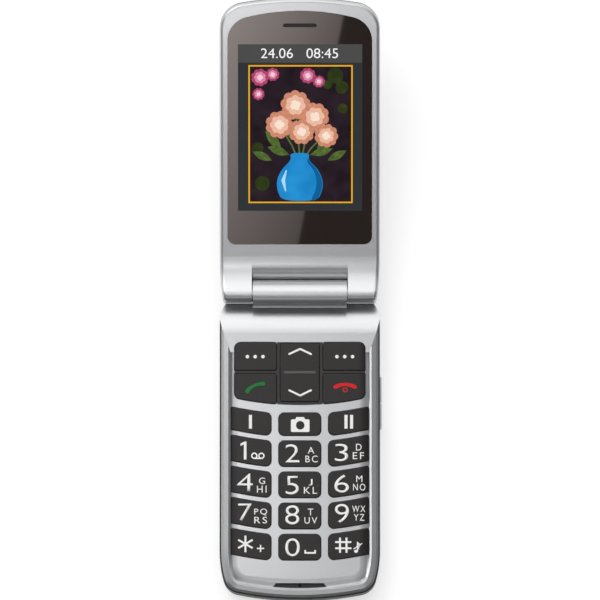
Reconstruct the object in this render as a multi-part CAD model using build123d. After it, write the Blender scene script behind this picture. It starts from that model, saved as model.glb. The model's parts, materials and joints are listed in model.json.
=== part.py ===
from build123d import *
import os
from math import cos, radians, sin, sqrt

# A clamshell phone, opened. All lengths are millimetres.
# Every piece is drawn about the hinge axis, which runs along X: the base lies towards -Y and the
# lid, drawn lying flat in line with it, towards +Y. At the end the lid is turned up to its rest
# angle and the whole is lifted so that the base's flat back lies at z = 0.

# ---------------------------------------------------------------- driving dimensions
width = 52.0
base_reach = 99.5          # hinge axis to the bottom end
lid_reach = 96.2           # hinge axis to the top end
base_thickness = 11.2      # flat back to the top of the trim frame
lid_thickness = 7.9
closing_gap = 0.5          # between the two faces when shut
rest_angle = 15.0          # lid above the base's plane, at the hinge's open stop
wall = 1.3

# base plan
base_lead_start = 15.8     # before the bottom end: where the straight sides end
base_lead_radius = 35.0
base_lead_turn = 22.0
base_corner_radius = 6.0
shoulder_start = 8.6       # shoulder corners beside the hinge
shoulder_radius = 9.9
base_end_gap = 1.9         # hinge axis to the end of the base's plan

# lid plan
lid_taper_start = 12.0
lid_taper_radius = 92.0
lid_tip_bow = 2.85
lid_corner_radius = 8.5
lid_edge_radius = 1.2
lid_back_radius = 3.0

# hinge
barrel_radius = 4.55
barrel_bore = 3.0
knuckle_width = 10.4       # from the lid's side to the slot for the barrel
barrel_blend = 0.3         # hollow between the barrel and the roll of the key plate
knuckle_radius = 3.3
knuckle_end_radius = 1.4
hinge_clearance = 0.3
chin_radius = 21.0         # the lid's chin sweeps up to its knuckles along this hollow
lid_end_radius = 4.3
lid_end_run = 4.0          # the round corner meets the end wall at a slight edge
lid_roll_start = 9.6       # where the chin rolls down into the slot for the barrel
lid_roll_radius = 6.0
base_end_radius = 4.5
end_wall_gap = 0.35        # between the base's end wall and the open lid's
shoulder_edge_radius = 1.2
shaft_radius = 1.6
running_clearance = 0.05

# levels in the base, above its flat back
plate_top = 10.5
plate_thickness = 1.0
ledge_top = 9.6            # the trim frame sits on this
rail_bottom = 8.0
split_height = 7.0         # front housing above, rear housing below
bay_ceiling = 0.8
cover_split = 2.2
cover_floor = 1.1
cover_gap = 0.15
back_edge_radius = 3.5

# trim frame, measured inwards from the base's outline
trim_outer = 0.5
trim_bevel_out = 1.4
trim_bevel_height = 1.1
trim_inner = 3.55
trim_bevel_in = 0.8
trim_bevel_in_height = 0.75
trim_ramp_start = 16.0
trim_ramp_radius = 20.0
blend_start = 19.0         # the shoulders widen over the trim frame's ends
blend_middle = (1.6, 13.8)   # in from the side, away from the hinge axis
blend_end = 8.0

# crowned key plate
crown_inset = 0.55
crown_roll = 6.0
crown_corner = 9.0

# keys
key_proud = 0.35
key_gap = 0.15
key_flange = 0.3
key_flange_height = 0.5
key_flange_play = 0.05
key_travel = 0.4
key_edge = 0.22
row_arc = 100.0            # every row of keys and the navigation field bow along this arc
row_sag = 0.47
keypad_margin = 3.7        # from the base's sides to the keys
keypad_end = 12.6          # from the last row to the bottom end
centre_key_share = 0.3085  # of the keypad's width
column_gap = 2.37
row_pitch_share = 0.14264  # of the keypad's length, as are the next five
row_two_share = 0.51214    # from the keypad's start to the middle of the "2" key
row_one_share = 0.37684
key_height_share = 0.11958
small_key_share = 0.10526
nav_share = 0.28898
key_corner = 1.8
key_outer_corner = 0.4
column_names = [("key_1", "key_2", "key_3"), ("key_4", "key_5", "key_6"),
                ("key_7", "key_8", "key_9"), ("key_star", "key_0", "key_hash")]
top_row_names = ("key_memory_1", "key_camera", "key_memory_2")

# navigation field
nav_top = 15.65
nav_margin = 4.76          # from the base's sides
nav_corner = 2.1
nav_rib = 1.13
nav_split_share = 0.475
nav_split_gap = 1.05
nav_inner_corner = 0.8
nav_floor = 9.9            # ribs of the housing under the bezel
nav_proud = 0.2
rocker_share = 0.3         # of the navigation field's width
rocker_start = 0.32
rocker_length_share = 0.9325
rocker_corner = 1.0
rocker_flange_half = 2.0
rocker_bottom = 9.05
rocker_bar_length = 10.5
rocker_bar_width = 0.8
rocker_bar_height = 0.15

# slot insert at the bottom edge of the plate
slot_margin = 3.55         # from the bottom end
slot_height = 1.65
slot_half_far = 9.1
slot_half_near = 7.75
slot_depth = 1.4           # the crowned plate is already low here
slot_insert_height = 0.4
slot_backing = 0.6
slot_hole = 0.5

# lid window, display and earpiece
window_side = 2.5          # from the lid's sides
window_near = 16.2
window_end = 3.7           # from the lid's end
window_bow = 3.9
window_corner = 8.0
window_near_corner = 2.7
window_recess = 0.25
window_thickness = 1.0
window_gap = 0.08
window_ledge = 1.6
lid_split = 2.35           # below the lid's face
display_side = 1.9         # from the window's sides
display_near = 22.0
display_end = 11.7         # from the lid's end
display_thickness = 2.3
display_gap = 0.1
frame_sheet = 0.4
ear_end = 8.5              # from the lid's end
ear_half = 5.45
ear_width = 1.2
receiver_size = (15.0, 5.6, 2.5)
receiver_corner = 1.5
magnet_size = (5.0, 3.0, 2.0)
magnet_end = 8.2           # from the lid's end

# lid board
lid_board_side = 9.0       # from the lid's sides
lid_board_start = 2.0      # from the display's start
lid_board_length = 34.0
lid_chips = ((-7.5, 34.5, 9.0), (6.5, 45.5, 7.0))     # middle x, middle y, side
chip_height = 0.8

# lid back
panel_inset = 3.4
panel_near = 3.5
panel_thickness = 0.7
lid_floor = 1.1
camera_middle = 17.5
camera_size = (8.5, 8.5, 4.2)
camera_mouth = 2.0
camera_mouth_depth = 1.0
lens_radius = 3.6
lens_thickness = 0.7
lens_edge = 0.2
lid_room_start = 6.5

# inside the base
battery_side = 7.0         # from the base's sides
battery_start = 30.0       # from the hinge axis
battery_end = 22.5         # from the bottom end
battery_height = 4.9
battery_floor = 1.25
battery_gap = 0.3
battery_edge = 1.2
bay_wall = 0.8
bay_end = 16.5
room_start = 14.9
housing_floor = 1.0
contact_size = (10.0, 3.4, 4.2)
contact_side = 16.0        # from the base's left side
contact_clear = 2.0
contact_pitch = 2.8
leaf_half = 0.5
leaf_start = 0.6
leaf_height = 2.0
sim_size = (16.0, 13.0, 1.8)
sim_middle = (6.5, 22.3)
sim_rim = 1.0
sim_sheet = 0.3
sim_card_height = 0.9
speaker_size = (15.0, 11.0, 3.0)
speaker_margin = (14.0, 11.5)
speaker_corner = 2.0
speaker_rim = 1.5
speaker_recess = 0.5
motor_radius = 4.0
motor_height = 2.7
motor_margin = (10.5, 15.5)
can_depth = 13.4
can_height = 1.5
can_margin = 13.3          # from the bottom end
can_gap = 1.3              # to the loudspeaker and the motor
can_corner = 0.6
usb_size = (7.6, 5.2, 2.6)
usb_sheet = 0.4
usb_setback = 0.5
usb_corner = 0.6
usb_end = 1.0
usb_tongue = (4.6, 0.6)
antenna_sheet = 0.3
antenna_arm = 1.5
antenna_left = 6.0
antenna_side = 8.0
antenna_margin = (3.8, 7.6)   # its far and near edges, from the bottom end
microphone_size = (3.8, 3.0, 0.95)
microphone_margin = 8.3
board_thickness = 0.8
board_inset = 1.6
board_start = 15.3
cavity_start = 15.05
film_thickness = 0.15
dome_radius = 2.6
dome_height = 0.1
mat_thickness = 0.3
mat_margin = 11.0          # from the bottom end
plunger_radius = 1.2
mat_side = 5.7             # from the base's sides

# screws
boss_radius = 1.7
boss_hole = 0.65
base_screw_near = (3.7, 12.9)      # from the side, from the hinge axis
base_screw_far = (4.2, 8.0)        # from the side, from the bottom end
base_screw_seat = 3.5
base_screw_tip = 8.4
lid_screw_near = (6.5, 12.8)
lid_screw_far = (8.5, 7.2)
lid_boss_length = 2.2
lid_post_wall = 0.4
screw_post_wall = 0.5
lid_screw_seat = 1.75
lid_screw_tip = 5.55
screw_radius = 0.6
screw_head_radius = 1.25
screw_head_height = 0.8
screw_gap = 0.15
screw_head_edge = 0.3
cross_half = (0.75, 0.15)
cross_depth = 0.4

# battery cover
cover_front = 10.9
cover_rim = 2.3
tongue_half = 6.0
tongue_reach = 1.8
tongue_height = 0.55
sound_slots = 4
sound_length = 9.0
sound_width = 0.9
sound_pitch = 2.0
grip_ribs = 5
grip_length = 16.0
grip_width = 0.8
grip_pitch = 1.7
grip_middle = 24.0
grip_depth = 0.3

# volume rocker on the right side
volume_middle = 35.1
volume_length = 17.0
volume_height = 2.4
volume_level = 4.1
volume_proud = 0.6
volume_gap = 0.2
volume_depth = 2.0
volume_flange_half = 3.0
volume_flange = 1.0
volume_tilt_gap = 0.3
volume_lip = 0.4
volume_notch = 0.35
volume_edge = 0.35
switch_board_side = 4.4     # from the base's right side
switch_board_sheet = 0.8
switch_height = 1.0
switch_half = 1.5

# inside the hinge
capsule_inner = 2.4
capsule_end = 1.0
cap_thickness = 1.0
shaft_end_side = 4.5       # from the lid's side
cam_radius = 2.2
cam_inset = 1.4            # from the barrel's end
cam_length = 2.2
cam_notch = 0.7
cam_depth = 0.5
follower_length = 2.1
spring_radius = 1.8
spring_wire = 0.32
spring_turns = 6
bush_radius = 2.4
bush_bore = 1.7
bush_hold = 3.8            # its length inside the barrel
bush_end_side = 5.5        # from the lid's side
flex_radius = 1.5
flex_sheet = 0.3

# ---------------------------------------------------------------- derived levels and places
half = width / 2
barrel_length = width - 2 * (knuckle_width + hinge_clearance)
base_side_end = base_reach - base_lead_start
keypad_length = base_reach - nav_top - keypad_end
side_key_outer = half - keypad_margin
centre_key_half = centre_key_share * side_key_outer
side_key_inner = centre_key_half + column_gap
row_pitch = row_pitch_share * keypad_length
row_two = nav_top + row_two_share * keypad_length
row_one = nav_top + row_one_share * keypad_length
key_height = key_height_share * keypad_length
small_key_height = small_key_share * keypad_length
nav_height = nav_share * keypad_length
nav_bottom = nav_top + nav_height
nav_half = half - nav_margin
nav_split = nav_top + nav_split_share * nav_height
rocker_half = rocker_share * nav_half
rocker_length = rocker_length_share * nav_height
rocker_middle = nav_top + rocker_start + rocker_length / 2
nav_side_inner = rocker_half + nav_rib
slot_far = base_reach - slot_margin
slot_near = slot_far - slot_height
window_half = half - window_side
window_far = lid_reach - window_end
display_half = window_half - display_side
display_far = lid_reach - display_end
ear_middle = lid_reach - ear_end
battery_far = base_reach - battery_end
battery_size = (width - 2 * battery_side, battery_far - battery_start, battery_height)
contact_middle = -half + contact_side
speaker_middle = (-half + speaker_margin[0], base_reach - speaker_margin[1])
motor_middle = (half - motor_margin[0], base_reach - motor_margin[1])
can_left = speaker_middle[0] + speaker_size[0] / 2 + can_gap
can_right = motor_middle[0] - motor_radius - can_gap
can_size = (can_right - can_left, can_depth, can_height)
can_middle = ((can_left + can_right) / 2, base_reach - can_margin)
microphone_middle = base_reach - microphone_margin
mat_half = half - mat_side
mat_end = base_reach - mat_margin
base_screw_places = ((half - base_screw_near[0], base_screw_near[1]),
                     (half - base_screw_far[0], base_reach - base_screw_far[1]))
lid_screw_places = ((half - lid_screw_near[0], lid_screw_near[1]),
                    (half - lid_screw_far[0], lid_reach - lid_screw_far[1]))
switch_board_place = half - switch_board_side
shaft_end = half - shaft_end_side
bush_end = half - bush_end_side
axis_height = base_thickness + closing_gap / 2
axis_place = base_reach / 2 + 0.25      # so that the origin is at the middle of the flat back
back = -axis_height
lid_face = -closing_gap / 2
lid_back = lid_face - lid_thickness
plate_z = back + plate_top
plate_under = plate_z - plate_thickness
split_z = back + split_height
lid_split_z = lid_face - lid_split
barrel_half = barrel_length / 2
cam_start = barrel_half - cam_inset
bush_start = barrel_half - bush_hold
slot_half = barrel_half + hinge_clearance
key_top = plate_z + key_proud
flange_top = plate_under - key_flange_play
flange_bottom = flange_top - key_flange_height
board_top = split_z + board_thickness
film_top = board_top + film_thickness
dome_top = film_top + dome_height
mat_top = flange_bottom - key_travel - 0.05
mat_bottom = mat_top - mat_thickness
housing_room_floor = back + cover_split + cover_gap + housing_floor
lid_room_floor = lid_back + panel_thickness + lid_floor
far = 2 * base_reach


def slab(face, low, high):
    """A flat piece between two heights."""
    return extrude(Pos(0, 0, low) * face, amount=high - low, dir=(0, 0, 1))


def across(face, left, right):
    """A side profile, drawn as (y, z), carried along X."""
    return extrude(Pos(left, 0, 0) * (Plane.YZ * face), amount=right - left, dir=(1, 0, 0))


def block(x0, x1, y0, y1, z0, z1):
    return Pos((x0 + x1) / 2, (y0 + y1) / 2, (z0 + z1) / 2) * Box(x1 - x0, y1 - y0, z1 - z0)


def rod(radius, x0, x1, y=0.0, z=0.0):
    return Pos((x0 + x1) / 2, y, z) * Rotation(0, 90, 0) * Cylinder(radius, x1 - x0)


def post(radius, x, y, z0, z1):
    return Pos(x, y, (z0 + z1) / 2) * Cylinder(radius, z1 - z0)


def both_sides(shape):
    return shape + mirror(shape, about=Plane.YZ)


def corners_near(face, x, y):
    """The vertices of a plan within a millimetre of (x, y) and its mirror image."""
    return [v for v in face.vertices() if abs(abs(v.X) - abs(x)) < 1 and abs(v.Y - y) < 1]


# ---------------------------------------------------------------- plans
def base_outline(inset=0.0):
    """Straight sides, a long lead-in to each bottom corner, a bowed bottom edge."""
    centre_x = half - shoulder_radius
    rise = shoulder_start - base_end_gap
    end_x = centre_x + sqrt(shoulder_radius**2 - rise**2)
    turn = radians(base_lead_turn)
    lead_x = half - base_lead_radius * (1 - cos(turn))
    lead_y = -base_side_end - base_lead_radius * sin(turn)
    middle = radians(base_lead_turn / 2)
    shoulder_middle = radians(15)
    edges = [
        ThreePointArc(
            (end_x, -base_end_gap),
            (centre_x + shoulder_radius * cos(shoulder_middle),
             -shoulder_start + shoulder_radius * sin(shoulder_middle)),
            (half, -shoulder_start)),
        Line((half, -shoulder_start), (half, -base_side_end)),
        ThreePointArc(
            (half, -base_side_end),
            (half - base_lead_radius * (1 - cos(middle)),
             -base_side_end - base_lead_radius * sin(middle)),
            (lead_x, lead_y)),
    ]
    left = [mirror(edge, about=Plane.YZ) for edge in edges]
    tip = ThreePointArc((lead_x, lead_y), (0, -base_reach), (-lead_x, lead_y))
    top = Line((end_x, -base_end_gap), (-end_x, -base_end_gap))
    face = make_face(edges + left + [tip, top])
    face = fillet(corners_near(face, lead_x, lead_y), base_corner_radius)
    return offset(face, amount=-inset, kind=Kind.INTERSECTION) if inset else face


def lid_outline(inset=0.0):
    """Sides that draw in a little towards the hinge, a bowed top edge, round top corners."""
    end = -knuckle_radius
    centre_x = half - lid_taper_radius
    end_x = centre_x + sqrt(lid_taper_radius**2 - (lid_taper_start - end)**2)
    middle_y = (lid_taper_start + end) / 2
    middle_x = centre_x + sqrt(lid_taper_radius**2 - (lid_taper_start - middle_y)**2)
    side_end = lid_reach - lid_tip_bow
    edges = [
        ThreePointArc((end_x, end), (middle_x, middle_y), (half, lid_taper_start)),
        Line((half, lid_taper_start), (half, side_end)),
    ]
    left = [mirror(edge, about=Plane.YZ) for edge in edges]
    tip = ThreePointArc((half, side_end), (0, lid_reach), (-half, side_end))
    bottom = Line((end_x, end), (-end_x, end))
    face = make_face(edges + left + [tip, bottom])
    face = fillet(corners_near(face, half, side_end), lid_corner_radius)
    return offset(face, amount=-inset, kind=Kind.INTERSECTION) if inset else face


def window_outline(inset=0.0):
    side_end = window_far - window_bow
    face = make_face([
        Line((-window_half, window_near), (window_half, window_near)),
        Line((window_half, window_near), (window_half, side_end)),
        ThreePointArc((window_half, side_end), (0, window_far), (-window_half, side_end)),
        Line((-window_half, side_end), (-window_half, window_near)),
    ])
    face = fillet(corners_near(face, window_half, side_end), window_corner)
    face = fillet(corners_near(face, window_half, window_near), window_near_corner)
    return offset(face, amount=-inset, kind=Kind.INTERSECTION) if inset else face


# ---------------------------------------------------------------- side profiles
def chin_centre():
    """The centre of the chin's hollow, tangent to the lid's face and to the knuckles."""
    height = lid_face + chin_radius
    reach = sqrt((chin_radius + knuckle_radius)**2 - height**2)
    return reach, height


def base_profile():
    """Flat back, round rear end, an end wall along the open lid's, then a roll into the plate."""
    reach, height = chin_centre()
    roll = height + plate_z                      # concentric with the closed lid's chin
    lean = radians(rest_angle)
    wall_reach = knuckle_radius + end_wall_gap   # from the hinge axis
    along = reach * sin(lean) - height * cos(lean)
    apart = (reach - wall_reach * cos(lean))**2 + (height - wall_reach * sin(lean))**2
    drop = -along - sqrt(along**2 - apart + roll**2)
    top = (-wall_reach * cos(lean) + drop * sin(lean),
           -wall_reach * sin(lean) - drop * cos(lean))
    middle_y = (top[0] - reach) / 2
    middle_z = -height + sqrt(roll**2 - (reach + middle_y)**2)
    centre_z = back + base_end_radius
    centre_y = -(wall_reach + base_end_radius + centre_z * sin(lean)) / cos(lean)
    low = (centre_y + base_end_radius * cos(lean), centre_z + base_end_radius * sin(lean))
    turn = radians((rest_angle - 90) / 2)
    face = make_face([
        Line((-far, plate_z), (-reach, plate_z)),
        ThreePointArc((-reach, plate_z), (middle_y, middle_z), top),
        Line(top, low),
        ThreePointArc(low, (centre_y + base_end_radius * cos(turn),
                            centre_z + base_end_radius * sin(turn)), (centre_y, back)),
        Line((centre_y, back), (-far, back)),
        Line((-far, back), (-far, plate_z)),
    ])
    edge = [v for v in face.vertices()
            if abs(v.X - top[0]) < 0.01 and abs(v.Y - top[1]) < 0.01]
    return fillet(edge, shoulder_edge_radius)


def lid_profile():
    """Flat face, hollow chin, knuckle, end wall with a round corner, flat back."""
    reach, height = chin_centre()
    share = knuckle_radius / (chin_radius + knuckle_radius)
    touch = (reach * share, height * share)
    low = radians(255)
    middle = radians(125)
    corner_y = -knuckle_radius + lid_end_run
    corner_z = lid_back + lid_end_radius - sqrt(lid_end_radius**2 - lid_end_run**2)
    turn = radians(225)
    return make_face([
        Line((far, lid_face), (reach, lid_face)),
        ThreePointArc((reach, lid_face),
                      (reach + chin_radius * cos(low), height + chin_radius * sin(low)), touch),
        ThreePointArc(touch, (knuckle_radius * cos(middle), knuckle_radius * sin(middle)),
                      (-knuckle_radius, 0)),
        Line((-knuckle_radius, 0), (-knuckle_radius, corner_z)),
        ThreePointArc((-knuckle_radius, corner_z),
                      (corner_y + lid_end_radius * cos(turn),
                       lid_back + lid_end_radius + lid_end_radius * sin(turn)),
                      (corner_y, lid_back)),
        Line((corner_y, lid_back), (far, lid_back)),
        Line((far, lid_back), (far, lid_face)),
    ])


def barrel_profile():
    """The centre barrel on the roll of the key plate, with a narrow hollow between them."""
    reach, height = chin_centre()
    roll = height + plate_z
    away = chin_radius + knuckle_radius          # from the hinge axis to the roll's centre
    blend = barrel_blend + max(0, (away - roll - barrel_radius) / 2)
    near = barrel_radius + blend
    wide = roll + blend
    along = (near**2 - wide**2 + away**2) / (2 * away)
    aside = sqrt(near**2 - along**2)
    middle = Vector(-(along * reach + aside * height), -along * height + aside * reach) / away
    centre = Vector(-reach, -height)
    on_barrel = middle * (barrel_radius / near)
    on_roll = centre + (middle - centre) * (roll / wide)
    hollow = middle + ((on_barrel + on_roll) / 2 - middle).normalized() * blend
    bulge_y = (on_roll.X - reach) / 2
    bulge = (bulge_y, -height + sqrt(roll**2 - (reach + bulge_y)**2))
    web = make_face([
        Line((0, 0), on_barrel),
        ThreePointArc(on_barrel, hollow, on_roll),
        ThreePointArc(on_roll, bulge, (-reach, plate_z)),
        Line((-reach, plate_z), (-reach, split_z)),
        Line((-reach, split_z), (0, split_z)),
        Line((0, split_z), (0, 0)),
    ])
    return web + Circle(barrel_radius)


def lid_slot_profile():
    """What the barrel and its web need clear in the middle of the lid, and the chin's roll."""
    reach, height = chin_centre()
    slot = barrel_radius + hinge_clearance
    start_z = height - sqrt(chin_radius**2 - (reach - lid_roll_start)**2)
    lean = ((reach - lid_roll_start) / chin_radius, (height - start_z) / chin_radius)
    roll_y = lid_roll_start - lid_roll_radius * lean[0]
    roll_z = start_z - lid_roll_radius * lean[1]

    def on_roll(y):
        return (y, roll_z + sqrt(lid_roll_radius**2 - (y - roll_y)**2))

    low = on_roll(slot * 0.8)
    top = barrel_radius * 2
    roll = make_face([
        ThreePointArc((lid_roll_start, start_z), on_roll((low[0] + lid_roll_start) / 2), low),
        Line(low, (0, low[1])),
        Line((0, low[1]), (0, top)),
        Line((0, top), (lid_roll_start, top)),
        Line((lid_roll_start, top), (lid_roll_start, start_z)),
    ])
    behind = Pos(-slot / 2 - 0.5, (top - slot) / 2 - 0.2) * Rectangle(slot + 1, top + slot + 0.4)
    return roll + Circle(slot) + behind


def crown(top):
    """A plate whose rim rolls down all round, far larger than the keypad towards the hinge."""
    side_end = base_reach - 2.9
    edge_x, far_y = half - crown_inset, base_reach - crown_inset
    face = make_face([
        Line((-edge_x, base_reach), (edge_x, base_reach)),
        Line((edge_x, base_reach), (edge_x, -side_end)),
        ThreePointArc((edge_x, -side_end), (0, -far_y), (-edge_x, -side_end)),
        Line((-edge_x, -side_end), (-edge_x, base_reach)),
    ])
    face = fillet(corners_near(face, edge_x, -side_end), crown_corner)
    body = slab(face, back, top)
    return fillet(body.faces().sort_by(Axis.Z)[-1].edges(), crown_roll)


def shoulder_plan():
    """The plan of the plate: inside the trim frame, then widening over its ends."""
    inner = base_outline(trim_inner)
    flare = make_face([
        Line((half - trim_inner - 1, -blend_start), (half - trim_inner, -blend_start)),
        ThreePointArc((half - trim_inner, -blend_start),
                      (half - blend_middle[0], -blend_middle[1]), (half, -blend_end)),
        Line((half, -blend_end), (half + 1, 0)),
        Line((half + 1, 0), (half - trim_inner - 1, 0)),
        Line((half - trim_inner - 1, 0), (half - trim_inner - 1, -blend_start)),
    ])
    return inner + (both_sides(flare) & base_outline())


# ---------------------------------------------------------------- key outlines
def row_field(low, high):
    """The band of one row, between two copies of the row arc."""
    below = Pos(0, low + row_arc) * Circle(row_arc)
    above = Pos(0, high + row_arc) * Circle(row_arc)
    return below - above


def side_key(middle, height):
    """A key of the right column: it follows the row arc, with one sharp and one round side."""
    low, high = -middle - height / 2 - row_sag, -middle + height / 2 - row_sag
    strip = Pos((side_key_inner + side_key_outer) / 2, -middle) * Rectangle(
        side_key_outer - side_key_inner, 3 * height)
    face = (row_field(low, high) & strip).faces()[0]
    inner = [v for v in face.vertices() if abs(v.X - side_key_inner) < 0.1]
    face = fillet(inner, key_corner)
    outer = [v for v in face.vertices() if abs(v.X - side_key_outer) < 0.1]
    return fillet(outer, key_outer_corner)


def centre_key(middle, height):
    return Pos(0, -middle) * RectangleRounded(2 * centre_key_half, height, key_corner)


def nav_field():
    """The black field of the navigation keys: straight above, bowed below."""
    box = Pos(0, -nav_top - nav_height) * Rectangle(2 * nav_half, 2 * nav_height)
    face = (box & (Pos(0, row_arc - nav_bottom) * Circle(row_arc))).faces()[0]
    return fillet(face.vertices(), nav_corner)


def nav_side_key(upper):
    """The soft key or the call key on the right, cut from the navigation field."""
    edge = -nav_split + nav_split_gap / 2 if upper else -nav_split - nav_split_gap / 2
    y0, y1 = (edge, 0) if upper else (-base_reach / 2, edge)
    region = Pos((nav_side_inner + half) / 2, (y0 + y1) / 2) * Rectangle(
        half - nav_side_inner, y1 - y0)
    face = (nav_field() & region).faces()[0]
    inner = [v for v in face.vertices() if abs(v.X - nav_side_inner) < 0.1]
    return fillet(inner, nav_inner_corner)


def nav_rocker_plan():
    return Pos(0, -rocker_middle) * RectangleRounded(2 * rocker_half, rocker_length, rocker_corner)


def key_plans():
    """Every key's outline, by the name of its piece."""
    plans = {"nav_rocker": nav_rocker_plan()}
    for name_left, name_right, upper in (("softkey_left", "softkey_right", True),
                                         ("call_key", "end_key", False)):
        plans[name_right] = nav_side_key(upper)
        plans[name_left] = mirror(plans[name_right], about=Plane.YZ)
    rows = [(top_row_names, row_one, small_key_height)]
    for row, names in enumerate(column_names):
        rows.append((names, row_two + row * row_pitch, key_height))
    for (left, centre, right), middle, height in rows:
        plans[right] = side_key(middle, height)
        plans[left] = mirror(plans[right], about=Plane.YZ)
        plans[centre] = centre_key(middle, height)
    return plans


# ---------------------------------------------------------------- base housings
def base_screw_posts():
    return [(side * x, -y) for x, y in base_screw_places for side in (1, -1)]


def base_front_housing(plans):
    body = slab(base_outline(), split_z, back + ledge_top)
    plate = slab(shoulder_plan(), split_z, plate_z) & crown(plate_z)
    shoulders = slab(shoulder_plan(), split_z, plate_z) & block(
        -half, half, -blend_start, 0, split_z, plate_z)
    top = plate + shoulders
    body = (body + top) & across(base_profile(), -half, half)
    body += across(barrel_profile(), -barrel_half, barrel_half)
    body -= rod(barrel_bore, -barrel_half, barrel_half)

    low_space = slab(base_outline(wall), split_z, back + rail_bottom)
    high_space = slab(base_outline(trim_inner - 0.45), back + rail_bottom, plate_under)
    room = block(-half, half, -far, -cavity_start, split_z, plate_under)
    posts = [post(boss_radius, x, y, split_z, plate_under) for x, y in base_screw_posts()]
    body -= (low_space + high_space) & room
    for piece in posts[2:]:
        body += piece
    for x, y in base_screw_posts():
        body -= post(boss_hole, x, y, split_z - 1, back + base_screw_tip + screw_gap)
    body -= slab(nav_field(), back + nav_floor, plate_z + 1)
    for plan in plans.values():
        body -= slab(offset(plan, amount=key_gap), plate_under - 1, plate_z + 1)
    floor = plate_z - slot_depth
    body += slab(slot_plan(-slot_backing), floor - slot_backing, plate_under)
    body -= slab(slot_plan(), floor, plate_z + 1)
    body -= post(slot_hole, 0, -(slot_near + slot_far) / 2, floor - 1, floor + 1)
    return body


def slot_plan(inset=0.0):
    near, far_half = slot_half_near - inset, slot_half_far - inset
    return make_face(Polyline(
        (-far_half, -slot_far + inset), (far_half, -slot_far + inset),
        (near, -slot_near - inset), (-near, -slot_near - inset), close=True))


def mic_slot_insert():
    """The dark insert in the slot, with a hole for the microphone's sound."""
    floor = plate_z - slot_depth
    body = slab(slot_plan(0.05), floor, floor + slot_insert_height)
    return body - post(slot_hole, 0, -(slot_near + slot_far) / 2, floor - 1, floor + 1)


def base_trim_frame():
    """The raised frame round the key plate. Its ends run down beside the shoulders."""
    outer = slab(base_outline(trim_outer), back + ledge_top, back + base_thickness)
    outer = chamfer(outer.faces().sort_by(Axis.Z)[-1].edges(), trim_bevel_out,
                    trim_bevel_height, reference=outer.faces().sort_by(Axis.Z)[-1])
    hole = base_outline(trim_inner)
    ring = outer - slab(hole, back, 0)
    top = ring.faces().sort_by(Axis.Z)[-1]
    inner = [e for e in top.edges() if abs(e.center().X) < half - trim_inner + 0.05
             and e.center().Y > -base_reach + trim_inner - 0.05]
    ring = chamfer(inner, trim_bevel_in, trim_bevel_in_height, reference=top)
    drop = trim_ramp_start - blend_end + 1.0
    low_z = back + base_thickness - trim_ramp_radius + sqrt(trim_ramp_radius**2 - drop**2)
    half_drop = drop / 2
    mid_z = back + base_thickness - trim_ramp_radius + sqrt(trim_ramp_radius**2 - half_drop**2)
    ramp = make_face([
        Line((-far, 0), (-trim_ramp_start, 0)),
        Line((-trim_ramp_start, 0), (-trim_ramp_start, back + base_thickness)),
        ThreePointArc((-trim_ramp_start, back + base_thickness),
                      (-trim_ramp_start + half_drop, mid_z), (-trim_ramp_start + drop, low_z)),
        Line((-trim_ramp_start + drop, low_z), (-trim_ramp_start + drop, back)),
        Line((-trim_ramp_start + drop, back), (-far, back)),
        Line((-far, back), (-far, 0)),
    ])
    ring = ring & across(ramp, -half, half)
    return ring - slab(shoulder_plan(), back, 0)


# ---------------------------------------------------------------- base: rear housing and cover
def base_shell():
    """The base's outer form below the split, with round lower edges."""
    body = slab(base_outline(), back, split_z) & across(base_profile(), -half, half)
    low = body.faces().sort_by(Axis.Z)[0]
    end = low.edges().sort_by(Axis.Y)[-1].center().Y
    rim = [edge for edge in low.edges() if edge.center().Y < end - 0.1]
    return fillet(rim, back_edge_radius)


def battery_place():
    x, y = battery_size[0] / 2, -battery_far
    return -x, x, y, y + battery_size[1]


def sound_openings(low, high):
    """The slots in front of the loudspeaker."""
    openings = []
    for step in range(sound_slots):
        y = -speaker_middle[1] + (step - (sound_slots - 1) / 2) * sound_pitch
        slot = Pos(speaker_middle[0], y) * SlotOverall(sound_length, sound_width)
        openings.append(slab(slot, low, high))
    return openings


def around(middle, size, low, gap=0.0):
    """A block about a middle point, standing on a level, with a gap on its four sides."""
    x, y = middle
    return block(x - size[0] / 2 - gap, x + size[0] / 2 + gap,
                 y - size[1] / 2 - gap, y + size[1] / 2 + gap, low, low + size[2])


def contact_place():
    return contact_middle, battery_place()[3] + battery_gap + 0.2 + contact_size[1] / 2


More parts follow.
